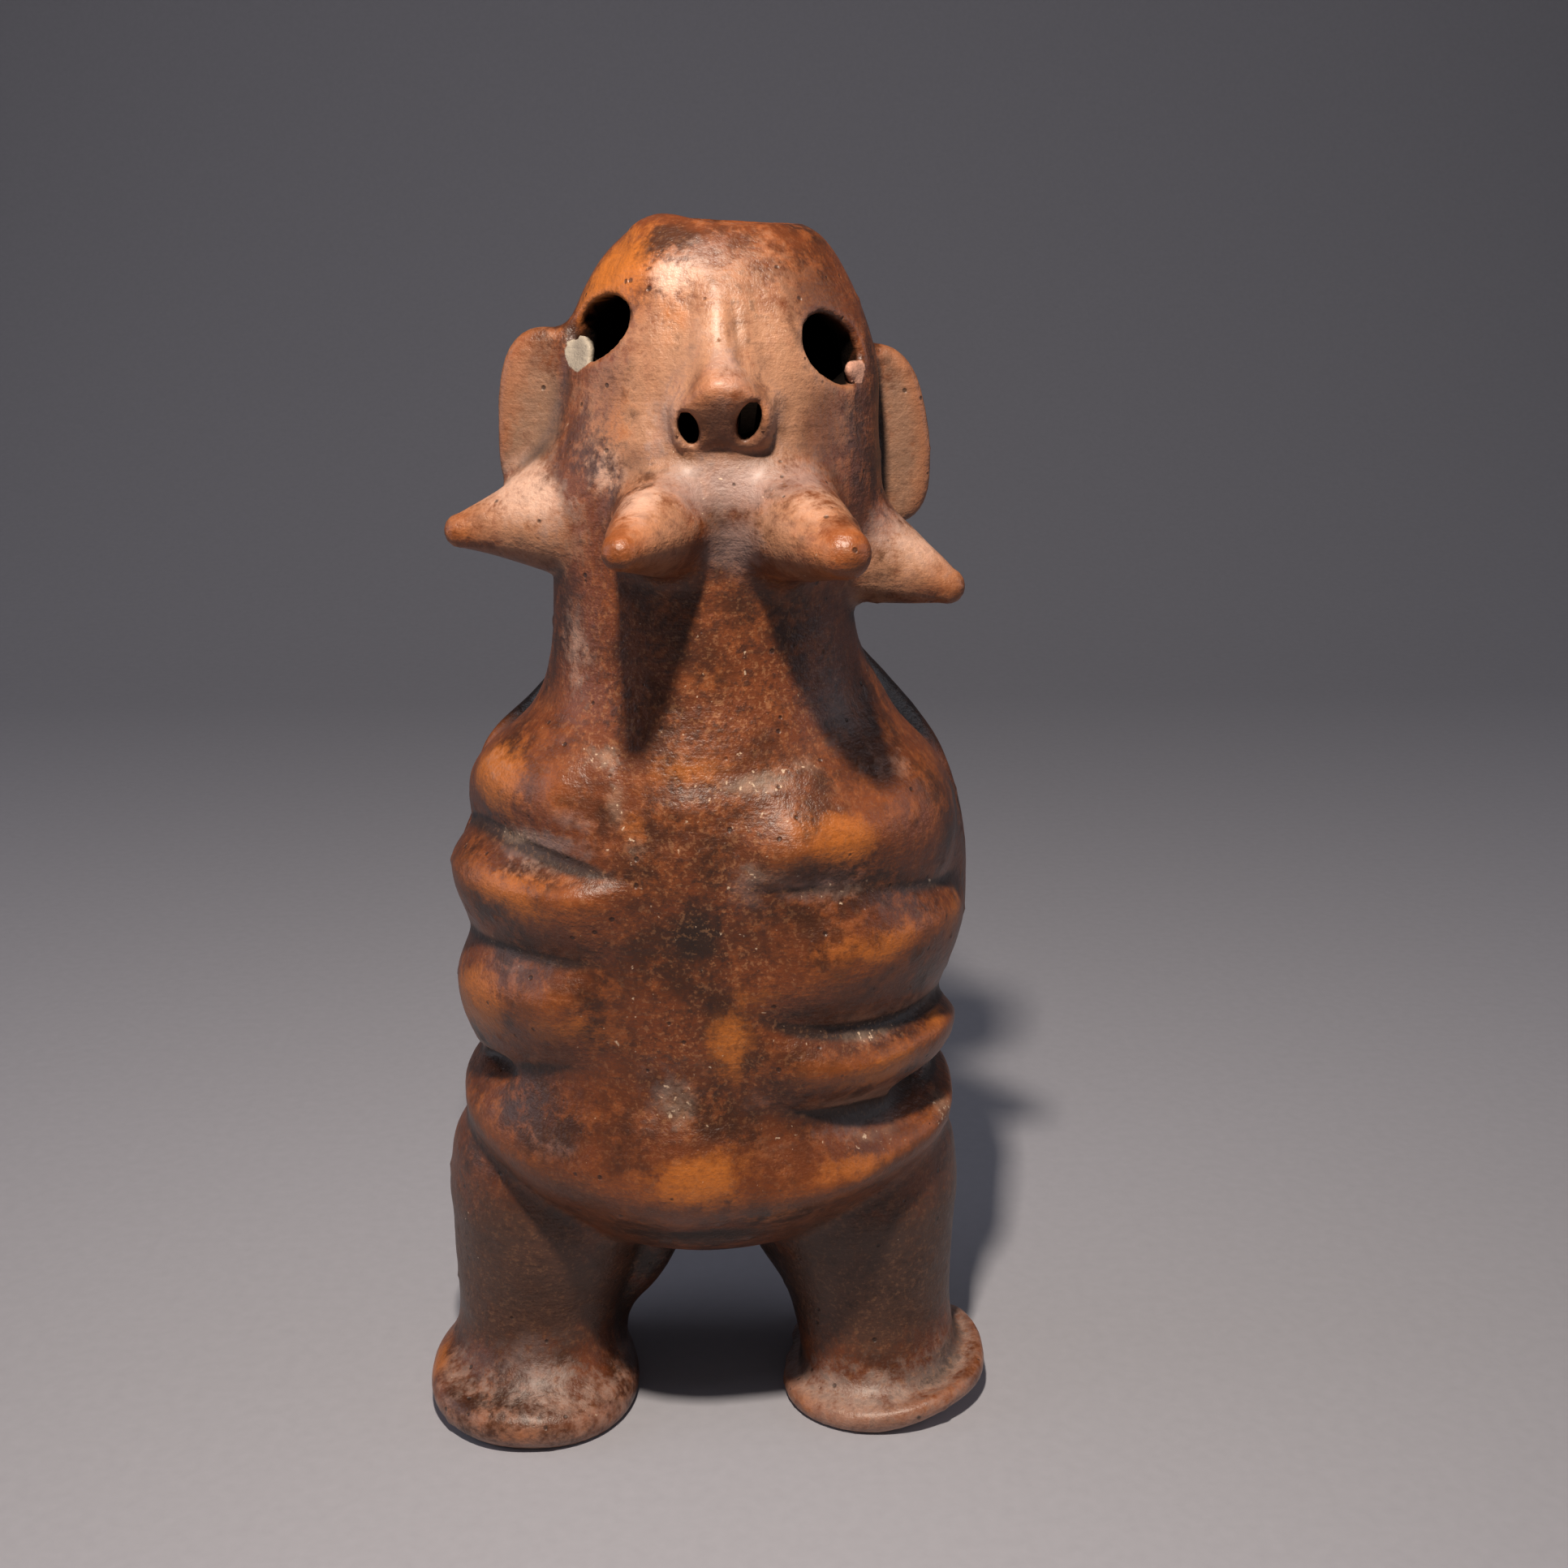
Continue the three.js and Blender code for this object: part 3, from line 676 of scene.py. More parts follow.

# %% [markdown]
# ## Stains, painted shade and painted highlights
# The firing left clouds: orange where air reached the clay, dark where it smouldered, and a greyish mauve
# bloom round the jaw. Pale specks of lime sit on the collar and the upper edges of the folds. Some patches
# are painted light: the dark ones on the back behind the shoulders, between the legs and under the nose and
# horns are painted shade, and pale ones on the brow, the nose tip and the horn tops are painted highlights.
# Each cloud is a soft patch with a middle, a reach and a strength. The places are shaken a little by the
# hand dents, so that no patch keeps a round outline, and the material breaks their edges up further.

# %% Clouds from the firing
# name of the stain or painted light, then for each patch its middle (mm), reach (mm) and strength
STAINS = {
    "glow": [
        ((-25, -20, 317), (16, 18, 16), 1.0), ((-8, -30, 308), (8, 10, 13), 0.5),
        ((-24, -32, 284), (8, 9, 11), 0.5), ((-62, -14, 251), (7, 9, 5), 0.6),
        ((-17, -68, 256), (7, 7, 5), 0.5), ((30, -64, 255), (9, 9, 6), 0.55),
        ((-54, -22, 190), (16, 16, 9), 1.0), ((-50, -36, 163), (20, 16, 8), 0.8),
        ((-62, -24, 128), (14, 18, 11), 1.0), ((-38, -42, 131), (12, 12, 7), 0.7),
        ((30, -46, 180), (14, 12, 7), 0.9), ((48, -32, 181), (10, 14, 6), 0.4),
        ((40, -42, 151), (20, 14, 5), 0.8), ((62, -14, 147), (9, 14, 6), 0.9),
        ((44, -40, 115), (18, 14, 5), 0.9), ((60, -20, 119), (8, 10, 5), 0.7),
        ((-4, -48, 196), (14, 9, 5), 0.6), ((-20, -46, 185), (9, 9, 9), 0.4),
        ((4, -54, 127), (7, 8, 10), 0.8), ((-6, -58, 92), (14, 10, 9), 1.0),
        ((38, -46, 86), (18, 12, 5), 0.7), ((-58, -24, 95), (14, 16, 8), 0.4),
        ((16, -50, 78), (12, 10, 5), 0.6), ((-82, -14, 12), (6, 14, 10), 0.8),
        ((-52, -46, 6), (20, 6, 4), 0.5), ((22, -36, 5), (8, 10, 5), 0.8),
        ((2, -42, 218), (10, 8, 12), 0.3), ((10, -52, 138), (9, 8, 5), 0.5),
        ((30, 46, 120), (28, 20, 30), 0.5), ((-30, 50, 170), (26, 20, 26), 0.5),
        ((10, 30, 300), (22, 16, 16), 0.5), ((-14, -54, 84), (8, 8, 5), 0.5),
    ],
    # smoke stains, and painted shade: the dark patches on the back behind the shoulders, under the belly and
    # between the legs
    "smoke_and_painted_shade": [
        ((-4, -54, 154), (9, 10, 12), 1.0), ((-3, -54, 138), (12, 10, 10), 0.6),
        ((-1, -53, 170), (11, 10, 7), 0.5), ((-38, -44, 84), (15, 12, 9), 0.7),
        ((-18, -50, 102), (12, 10, 9), 0.5), ((-8, -46, 66), (28, 14, 7), 0.9),
        ((20, -50, 133), (16, 9, 4), 0.6), ((-62, -20, 60), (14, 20, 14), 0.4),
        ((50, -24, 40), (16, 20, 18), 0.45), ((-34, -26, 236), (8, 12, 12), 0.5),
        ((34, -28, 215), (10, 12, 20), 0.5), ((52, 16, 200), (18, 14, 22), 1.1),
        ((-52, 20, 202), (16, 14, 18), 0.9), ((0, 66, 150), (46, 26, 44), 0.6),
        ((-20, -48, 172), (8, 8, 5), 0.6), ((-30, -46, 150), (9, 9, 6), 0.5),
        ((64, -18, 172), (9, 10, 8), 0.7), ((-20, 50, 60), (30, 24, 22), 0.6),
        ((20, -50, 100), (14, 10, 6), 0.4), ((0, -14, 42), (24, 40, 9), 1.0),
        ((-26, -4, 28), (9, 16, 20), 1.0), ((24, -4, 28), (8, 16, 20), 1.0),
        ((-17, -2, 38), (13, 22, 20), 1.0), ((17, -2, 38), (11, 22, 20), 1.0),
        ((8, 44, 230), (22, 16, 26), 0.5), ((36, 22, 296), (12, 16, 12), 0.4),
        ((12, -34, 312), (9, 9, 8), 0.35), ((20, -52, 112), (10, 8, 6), 0.4),
        ((60, -26, 100), (10, 10, 6), 0.8), ((-66, -16, 107), (9, 10, 5), 0.8),
        ((-20, -50, 140), (8, 8, 8), 0.35),
    ],
    # greyish mauve bloom, and painted sheen on the tops of the horns and beside the nose
    "mauve_and_painted_sheen": [
        ((4, -44, 268), (18, 12, 9), 1.0), ((8, -46, 252), (9, 14, 10), 1.0),
        ((-36, -13, 259), (14, 14, 12), 1.0), ((42, -12, 250), (14, 12, 10), 0.9),
        ((-12, -42, 284), (8, 9, 14), 0.8), ((4, -48, 298), (7, 10, 16), 0.7),
        ((22, -44, 268), (12, 14, 9), 0.8), ((17, -44, 284), (6, 9, 12), 0.6),
        ((-14, -58, 266), (10, 16, 7), 0.6), ((26, -50, 168), (18, 9, 6), 0.6),
        ((10, -53, 168), (10, 9, 12), 0.55), ((-44, -38, 176), (18, 14, 5), 1.0),
        ((-14, -54, 116), (12, 9, 10), 0.65), ((-52, -36, 20), (18, 14, 9), 0.8),
        ((40, -44, 97), (18, 12, 4), 0.6), ((-36, -40, 184), (9, 10, 6), 0.6),
        ((0, -30, 320), (14, 14, 8), 0.5), ((10, -53, 110), (9, 9, 8), 0.4),
        ((-40, -42, 96), (16, 12, 8), 0.5), ((44, -40, 124), (18, 12, 4), 0.5),
        ((40, -36, 200), (12, 10, 6), 0.5), ((20, -46, 76), (20, 12, 5), 0.4),
        ((-58, -26, 110), (10, 10, 4), 0.4), ((-48, -34, 142), (14, 12, 4), 0.5),
    ],
    "lime": [
        ((-27, -38, 201), (7, 8, 5), 1.0), ((-24, -44, 189), (5, 8, 9), 0.9),
        ((-20, -48, 179), (6, 8, 6), 0.7), ((12, -48, 192), (15, 8, 4), 1.0),
        ((25, -42, 195), (8, 8, 4), 0.8), ((-4, -50, 190), (6, 8, 4), 0.6),
        ((-48, -32, 178), (18, 12, 3), 1.0), ((12, -53, 172), (11, 8, 6), 0.8),
        ((30, -46, 166), (20, 9, 4), 0.7), ((-10, -53, 113), (8, 8, 8), 1.0),
        ((42, -42, 124), (20, 12, 3), 0.9), ((46, -38, 93), (22, 12, 4), 0.8),
        ((64, -20, 91), (6, 10, 7), 1.0), ((-4, -54, 122), (10, 8, 10), 0.6),
        ((62, -20, 160), (10, 12, 4), 0.8), ((14, -50, 96), (14, 8, 8), 0.6),
        ((4, -44, 270), (14, 10, 8), 0.5), ((0, -50, 150), (24, 10, 34), 0.35),
        ((-20, -50, 130), (20, 12, 24), 0.4), ((0, -52, 182), (30, 12, 12), 0.45),
        ((-64, 10, 150), (14, 30, 40), 0.4), ((2, -40, 215), (26, 14, 20), 0.4),
        ((-56, -30, 146), (12, 12, 3), 0.6),
    ],
    # pale bloom, and painted highlights on the brow, the nose tip and the roots and tops of the horns
    "cream_and_painted_highlight": [
        ((-9, -31, 315), (7, 8, 5), 0.9), ((3.5, -50, 289), (4, 5, 5), 0.5),
        ((-14, -40, 286), (6, 8, 10), 0.7), ((-44, -14, 263), (16, 14, 9), 1.0),
        ((54, -12, 246), (13, 14, 8), 0.8), ((-14, -58, 266), (8, 15, 6), 0.7),
        ((26, -58, 265), (8, 14, 6), 0.5), ((0, -38, 302), (10, 8, 12), 0.4),
        ((-24, -38, 198), (10, 10, 8), 0.4), ((-34, -26, 226), (8, 12, 16), 0.6),
        ((-26, -34, 272), (8, 10, 8), 0.6), ((50, -28, 196), (16, 14, 7), 0.5),
        ((-56, -24, 193), (12, 14, 6), 0.45), ((-46, -38, 170), (18, 12, 4), 0.5),
    ],
    # dark brown on the cheeks, and painted shade under the nose and under the horns
    "umber_and_painted_shade": [
        ((3.5, -50, 280), (10, 8, 6), 1.5), ((-4, -46, 292), (3, 6, 8), 0.6),
        ((11, -45, 292), (3, 6, 8), 0.7), ((27, -32, 278), (9, 10, 16), 0.8),
        ((28, -24, 311), (12, 12, 10), 0.7), ((-24, -30, 290), (6, 9, 12), 0.5),
        ((-16, -34, 275), (7, 9, 5), 0.6), ((4, -38, 314), (8, 9, 5), 0.4),
        ((-16, -60, 252), (9, 14, 4), 0.7), ((28, -60, 250), (9, 14, 4), 0.7),
        ((30, -46, 262), (7, 9, 6), 0.4), ((54, -14, 274), (10, 10, 16), 0.8),
        ((-50, -6, 270), (8, 10, 14), 0.4), ((-52, -13, 246), (14, 12, 4), 0.6),
        ((56, -12, 236), (12, 12, 4), 0.6),
    ],
    "face": [
        ((2, -32, 288), (36, 26, 34), 1.0), ((-40, -12, 255), (28, 18, 13), 1.1),
        ((-12, -56, 259), (13, 24, 13), 0.8), ((24, -52, 258), (18, 24, 13), 0.8),
        ((48, -12, 243), (24, 16, 13), 1.0),
    ],
    "ear_dust": [
        ((-44, -6, 280), (14, 12, 26), 1.0), ((50, 9, 273), (14, 12, 28), 1.0),
    ],
    "feet": [
        ((54, -14, 2), (36, 38, 13), 1.3), ((-54, -18, 3), (34, 36, 13), 0.85),
    ],
    "legs": [
        ((-52, -4, 44), (34, 50, 30), 1.3), ((46, -4, 44), (34, 50, 30), 1.3),
    ],
    "grainy": [
        ((0, -38, 220), (40, 20, 28), 1.0), ((-2, -52, 165), (24, 14, 36), 1.0),
        ((-4, -52, 122), (26, 14, 18), 0.8), ((44, -40, 124), (22, 12, 5), 0.8),
        ((-48, -34, 178), (20, 12, 4), 0.7), ((56, -14, 4), (30, 34, 12), 0.8),
        ((-52, -4, 44), (34, 50, 30), 0.5), ((46, -4, 44), (34, 50, 30), 0.6),
    ],
}
WANDER_SIZE, WANDER = 13, 6.0   # how wide and how far the patches are shaken, mm

wander = [sample(dents(WANDER_SIZE, seed), spots) for seed in (11, 12, 13)]
wandered = spots + WANDER * np.stack(wander, axis=1)


def clouds(places, at):
    """How strongly each point of the mesh lies in some soft patches"""
    mask = np.zeros(len(at))
    for middle, reach, strength in places:
        off = ((at - np.array(middle)) / np.array(reach)) ** 2
        mask = np.maximum(mask, strength * np.exp(-off.sum(axis=1)))
    return mask


for name, places in STAINS.items():
    traits[name] = clouds(places, wandered)
# Dust lies on the flat of the ears, and not on the cheek they grow from
ON_EARS = (37, 42)
traits["ear_dust"] *= smooth(np.abs(spots[:, 0] - HEAD["x"]), *ON_EARS)
FILLER_EDGE = (0.2, 0.9)
for name, (middle, size, _) in zip(("white_filler", "pink_filler"), FILLERS):
    x, y, z = (spots - np.array(middle)).T
    traits[name] = 1 - smooth(oval(x, y, z, *size), *FILLER_EDGE)
for name, values in traits.items():
    thinned.attributes.new(name, "FLOAT", "POINT").data.foreach_set("value", values.astype(np.float32))
print("traits", len(traits))

# %% [markdown]
# ## Nodes, one at a time
# Both the geometry tree and the material are chains of nodes. One small function adds a node, sets its
# settings, and fills its inputs with values or with the outputs of other nodes.

# %% A helper for nodes and one for colours
def add(tree, kind, settings=None, inputs=None):
    node = tree.nodes.new(kind)
    for name, value in (settings or {}).items():
        setattr(node, name, value)
    for name, value in (inputs or {}).items():
        if isinstance(value, bpy.types.NodeSocket):
            tree.links.new(value, node.inputs[name])
        else:
            node.inputs[name].default_value = value
    return node


def paint(hex_colour):
    """An sRGB hex colour as the linear numbers that Blender works in"""
    parts = [int(hex_colour[i:i + 2], 16) / 255 for i in (1, 3, 5)]
    return tuple(c / 12.92 if c <= 0.04045 else ((c + 0.055) / 1.055) ** 2.4 for c in parts) + (1,)


# %% [markdown]
# ## Burnished skin
# Before firing, the skin was rubbed with a smooth pebble. That leaves faint flat strokes a few millimetres
# wide, round the body and up the head, and here and there a mark the size of a grain of sand. Both follow
# the surface, so a Geometry Nodes tree makes them: a stretched noise moves the points along their normals
# for the strokes, and points strewn evenly over the faces mark the knocks. The knocks were meant to sink
# in. Because the normals point inwards, they stand out by up to 0.4 mm.

# %% Geometry Nodes: strokes and knocks
skin_tree = bpy.data.node_groups.new("burnished_skin", "GeometryNodeTree")
SKIN_INPUTS = [
    ("Geometry", "NodeSocketGeometry", None), ("Stroke depth", "NodeSocketFloat", 0.00032),
    ("Stroke length", "NodeSocketFloat", 0.022), ("Stroke width", "NodeSocketFloat", 0.0052),
    ("Knock depth", "NodeSocketFloat", 0.0004), ("Knock width", "NodeSocketFloat", 0.0022),
    ("Knock spacing", "NodeSocketFloat", 0.011), ("Seed", "NodeSocketInt", 7),
    ("Finish", "NodeSocketMaterial", None),
]
for name, kind, value in SKIN_INPUTS:
    socket = skin_tree.interface.new_socket(name, in_out="INPUT", socket_type=kind)
    if value is not None:
        socket.default_value = value
skin_tree.interface.new_socket("Geometry", in_out="OUTPUT", socket_type="NodeSocketGeometry")
given = add(skin_tree, "NodeGroupInput").outputs
place = add(skin_tree, "GeometryNodeInputPosition").outputs[0]
normal = add(skin_tree, "GeometryNodeInputNormal").outputs[0]
height = add(skin_tree, "ShaderNodeSeparateXYZ", None, {0: place}).outputs["Z"]

# Strokes run level round the body, and upright over the head
level = add(skin_tree, "ShaderNodeCombineXYZ", None,
            {0: given["Stroke length"], 1: given["Stroke length"], 2: given["Stroke width"]}).outputs[0]
upright = add(skin_tree, "ShaderNodeCombineXYZ", None,
              {0: given["Stroke width"], 1: given["Stroke width"], 2: given["Stroke length"]}).outputs[0]
on_head = add(skin_tree, "ShaderNodeMapRange", {"interpolation_type": "SMOOTHSTEP"},
              {"Value": height, "From Min": 0.255, "From Max": 0.270}).outputs[0]
depths = []
for size in (level, upright):
    stretched = add(skin_tree, "ShaderNodeVectorMath", {"operation": "DIVIDE"},
                    {0: place, 1: size}).outputs[0]
    noise = add(skin_tree, "ShaderNodeTexNoise", None, {"Vector": stretched, "Scale": 1.0, "Detail": 1.0})
    depths.append(noise.outputs[0])
stroke = add(skin_tree, "ShaderNodeMix", None, {0: on_head, 2: depths[0], 3: depths[1]}).outputs[0]
centred = add(skin_tree, "ShaderNodeMath", {"operation": "SUBTRACT"}, {0: stroke, 1: 0.5}).outputs[0]
stroke_lift = add(skin_tree, "ShaderNodeMath", {"operation": "MULTIPLY"},
                  {0: centred, 1: given["Stroke depth"]}).outputs[0]

# Knocks sit around points strewn over the faces
strewn = add(skin_tree, "GeometryNodeDistributePointsOnFaces", {"distribute_method": "POISSON"},
             {"Mesh": given["Geometry"], "Distance Min": given["Knock spacing"], "Density Max": 20000.0,
              "Seed": given["Seed"]}).outputs["Points"]
distance = add(skin_tree, "GeometryNodeProximity", {"target_element": "POINTS"},
               {0: strewn}).outputs["Distance"]
knock = add(skin_tree, "ShaderNodeMapRange", {"interpolation_type": "SMOOTHSTEP"},
            {"Value": distance, "From Min": 0.0, "From Max": given["Knock width"],
             "To Min": 1.0, "To Max": 0.0})
knock_lift = add(skin_tree, "ShaderNodeMath", {"operation": "MULTIPLY"},
                 {0: knock.outputs[0], 1: given["Knock depth"]}).outputs[0]
lift = add(skin_tree, "ShaderNodeMath", {"operation": "SUBTRACT"}, {0: stroke_lift, 1: knock_lift}).outputs[0]

# Neither reaches the inner wall or the soles
inner = add(skin_tree, "GeometryNodeInputNamedAttribute", {"data_type": "FLOAT"},
            {"Name": "inside"}).outputs[0]
open_air = add(skin_tree, "ShaderNodeMath", {"operation": "SUBTRACT"}, {0: 1.0, 1: inner}).outputs[0]
off_floor = add(skin_tree, "ShaderNodeMapRange", None,
                {"Value": height, "From Min": 0.001, "From Max": 0.004}).outputs[0]
free = add(skin_tree, "ShaderNodeMath", {"operation": "MULTIPLY"}, {0: open_air, 1: off_floor}).outputs[0]
lift = add(skin_tree, "ShaderNodeMath", {"operation": "MULTIPLY"}, {0: lift, 1: free}).outputs[0]
offset = add(skin_tree, "ShaderNodeVectorMath", {"operation": "SCALE"}, {0: normal, "Scale": lift}).outputs[0]
moved = add(skin_tree, "GeometryNodeSetPosition", None, {"Geometry": given["Geometry"], "Offset": offset})
marked = add(skin_tree, "GeometryNodeStoreNamedAttribute", {"data_type": "FLOAT", "domain": "POINT"},
             {"Geometry": moved.outputs[0], "Name": "knock", "Value": knock.outputs[0]})
real = add(skin_tree, "GeometryNodeRealizeInstances", None, {0: marked.outputs[0]})
dressed = add(skin_tree, "GeometryNodeSetMaterial", None,
              {"Geometry": real.outputs[0], "Material": given["Finish"]})
add(skin_tree, "NodeGroupOutput", None, {0: dressed.outputs[0]})
print("skin tree of", len(skin_tree.nodes), "nodes")

# %% [markdown]
# ## Burnished terracotta
# The real material is red earthenware with a clay slip, rubbed to a low gloss before a smoky open fire. The
# eye gets a warm brown that is never even: orange on what was rubbed most, almost black in the creases, a
# mauve bloom, sandy grains and specks of lime, and a soft broad highlight broken by the strokes of the
# pebble. A material of coats follows the order in which these came to the real one: clay, slip, fire, wear,
# dirt. Painted light is among them: painted shade in the creases and on the inner wall, and painted
# highlights and sheen on the head. Three tables say it all, and a loop turns each into nodes: the noises,
# the masks that are noises and traits added up and put through a soft step, and the coats of colour with a
# mask each.

# %% Material: traits and noises
terracotta = bpy.data.materials.new("burnished_terracotta")
terracotta.use_nodes = True
clay_tree = terracotta.node_tree
clay_tree.nodes.clear()
local = add(clay_tree, "ShaderNodeTexCoord").outputs["Object"]
known = {name: add(clay_tree, "ShaderNodeAttribute", {"attribute_name": name}).outputs["Fac"]
         for name in [*traits, "knock"]}
axes = add(clay_tree, "ShaderNodeSeparateXYZ", None, {0: local}).outputs
known["depth"], known["height"] = axes["Y"], axes["Z"]

# name, size of a patch along x, y and z in metres, detail, roughness
NOISES = [
    ("cloud", (0.022, 0.022, 0.022), 4.0, 0.6),
    ("patch", (0.006, 0.006, 0.006), 5.0, 0.7),
    ("sand", (0.0024, 0.0024, 0.0024), 3.0, 0.7),
    ("crumbs", (0.0017, 0.0017, 0.0017), 2.0, 0.5),
    ("grit", (0.0011, 0.0011, 0.0011), 2.0, 0.6),
    ("level_streak", (0.014, 0.014, 0.0018), 3.0, 0.6),
    ("upright_streak", (0.0026, 0.0026, 0.016), 3.0, 0.6),
]
for name, size, detail, roughness in NOISES:
    stretched = add(clay_tree, "ShaderNodeVectorMath", {"operation": "DIVIDE"},
                    {0: local, 1: size}).outputs[0]
    noise = add(clay_tree, "ShaderNodeTexNoise", None,
                {"Vector": stretched, "Scale": 1.0, "Detail": detail, "Roughness": roughness}).outputs[0]
    known[name] = add(clay_tree, "ShaderNodeMath", {"operation": "SUBTRACT"}, {0: noise, 1: 0.5}).outputs[0]

# Pits where grains fell out: cells of 5.8 mm, each with its own chance of holding one
PIT_CELL = 0.0058
pits = add(clay_tree, "ShaderNodeTexVoronoi", None, {"Vector": local, "Scale": 1 / PIT_CELL})
known["pit_distance"] = pits.outputs["Distance"]
known["pit_chance"] = add(clay_tree, "ShaderNodeSeparateColor", None, {0: pits.outputs["Color"]}).outputs[0]
print("known", len(known), "values")

# %% Material: masks
# name, what is added up, start and end of the soft step, values before and after it, masks to multiply by.
# Noises run from about -0.3 to 0.3, traits mostly from 0 to 1, and the two reliefs are millimetres.
PLAIN = (0, 1)
MASKS = [
    ("uneven", {"patch": 1.1, "sand": 0.66}, None, None, []),
    ("browns", {"cloud": 1}, (-0.14, 0.12), PLAIN, []),
    ("reds", {"patch": 1}, (-0.04, 0.16), (0, 0.85), []),
    ("on_body", {"height": 1}, (0.195, 0.215), (1, 0), []),
    ("in_front", {"depth": 1}, (-0.005, 0.015), (1, 0), ["on_body"]),
    ("above_legs", {"height": 1}, (0.085, 0.1), PLAIN, ["in_front"]),
    ("off_face", {"face": 1}, (0.2, 0.8), (1, 0.3), []),
    ("rubbed", {"fold": 0.7, "broad_relief": 0.35, "uneven": 1.2}, (0.55, 1.4), (0, 0.3), []),
    ("underside", {"facing_down": 1}, (-0.2, 0.7), (-0.15, 0.75), []),
    # painted shade, with some dirt: darkest in creases and sunk places, and less where the skin faces down
    ("crease_dirt_and_shade", {"fold": -0.4, "broad_relief": -0.4, "fine_relief": -2.2, "cloud": 0.8, "underside": -1,
               "uneven": 0.5},
     (0.2, 1.3), (0, 0.9), ["off_face"]),
    # the paler colour in front and above the legs, partly dust and partly painted light meant for the tops of
    # slopes: with the normals turned inwards, as said above, it falls on undersides
    ("dust_and_painted_light", {"facing_down": 1.5, "fine_relief": 0.5, "broad_relief": -0.25, "uneven": 0.9, "cloud": 0.8},
     (0.65, 1.5), (0, 0.6), ["above_legs"]),
    ("thickness", {"cloud": 1}, (-0.1, 0.12), (0.6, 1), []),
    ("mottle", {"grainy": 1}, (0, 0.8), (0.35, 1), ["thickness"]),
    ("dark_flecks", {"sand": 1, "patch": 0.5}, (0, 0.16), (0, 0.62), ["mottle"]),
    ("light_flecks", {"grit": 1, "sand": -0.7}, (0.04, 0.2), (0, 0.3), ["mottle"]),
    ("scratches", {"level_streak": 1, "sand": 0.3}, (0.05, 0.2), (0, 0.35), ["mottle"]),
    ("face_streaks", {"upright_streak": 1, "patch": 0.4}, (0, 0.2), (0, 0.34), ["face"]),
    ("limy", {"lime": 1, "uneven": 0.8}, None, None, []),
    ("chalk", {"limy": 1}, (0.45, 1.2), (0, 0.45), []),
    ("crumb", {"crumbs": 1, "limy": 0.17}, (0.26, 0.34), (0, 0.8), []),
    ("pit_rarity", {"pit_chance": 1}, (0.2, 0.8), (0, 0.12), []),
    ("pit", {"pit_distance": 1, "pit_rarity": 1}, (0.06, 0.15), (0.7, 0), []),
    ("knocked", {"knock": 1}, PLAIN, (0, 0.3), []),
    ("white", {"white_filler": 1, "uneven": 1}, (0.35, 0.65), PLAIN, []),
    ("pink", {"pink_filler": 1, "uneven": 1}, (0.35, 0.65), PLAIN, []),
    ("gloss_lost", {"patch": 0.5, "level_streak": 0.2, "crease_dirt_and_shade": 0.2, "dust_and_painted_light": 0.4, "chalk": 0.6,
                    "mottle": 0.16, "face": 0.16, "mauve_and_painted_sheen": 0.2, "ear_dust": 0.25, "legs": 0.12,
                    "inside": 1, "white": 1, "pink": 1}, (-0.5, 1.0), (0.25, 0.85), []),
    ("shine", {"inside": 1}, PLAIN, (0.5, 0.03), []),
    ("coated", {"inside": 1}, PLAIN, (0.1, 0), []),
    ("relief", {"level_streak": 0.5, "sand": 0.8, "grit": 0.4, "patch": 1.3, "pit": -1.3}, None, None, []),
]

# Each cloud, of the firing or of painted light and shade, has two masks, one for its reach and one that
# breaks up its edge: name, colour, how much it covers at most, start and end of its soft edge
LAYERS = [
    ("legs", "#4e3427", 0.86, 0.25, 0.75),
    ("face", "#a5785c", 0.84, 0.25, 0.80),
    ("ear_dust", "#846450", 0.80, 0.20, 0.80),
    ("feet", "#b89d90", 0.88, 0.22, 0.85),
    ("glow", "#b06424", 0.90, 0.24, 0.84),
    ("umber_and_painted_shade", "#55301d", 0.84, 0.18, 0.80),
    ("mauve_and_painted_sheen", "#8f7670", 0.76, 0.26, 0.95),
    ("cream_and_painted_highlight", "#c8a390", 0.78, 0.26, 0.92),
    ("smoke_and_painted_shade", "#21140e", 0.92, 0.22, 0.90),
]
for name, tint, most, start, end in LAYERS:
    MASKS.append((name + " reach", {name: 1}, (0.04, 0.25), (0, most), []))
    MASKS.append((name + " cloud", {name: 1, "uneven": 1}, (start, end), PLAIN, [name + " reach"]))

for name, terms, step, ends, others in MASKS:
    mask = 0.0
    for source, weight in terms.items():
        mask = add(clay_tree, "ShaderNodeMath", {"operation": "MULTIPLY_ADD"},
                   {0: known[source], 1: weight, 2: mask}).outputs[0]
    if step:
        mask = add(clay_tree, "ShaderNodeMapRange", {"interpolation_type": "SMOOTHSTEP"},
                   {"Value": mask, "From Min": step[0], "From Max": step[1],
                    "To Min": ends[0], "To Max": ends[1]}).outputs[0]
    for other in others:
        mask = add(clay_tree, "ShaderNodeMath", {"operation": "MULTIPLY"},
                   {0: mask, 1: known[other]}).outputs[0]
    known[name] = mask
print("masks", len(MASKS))

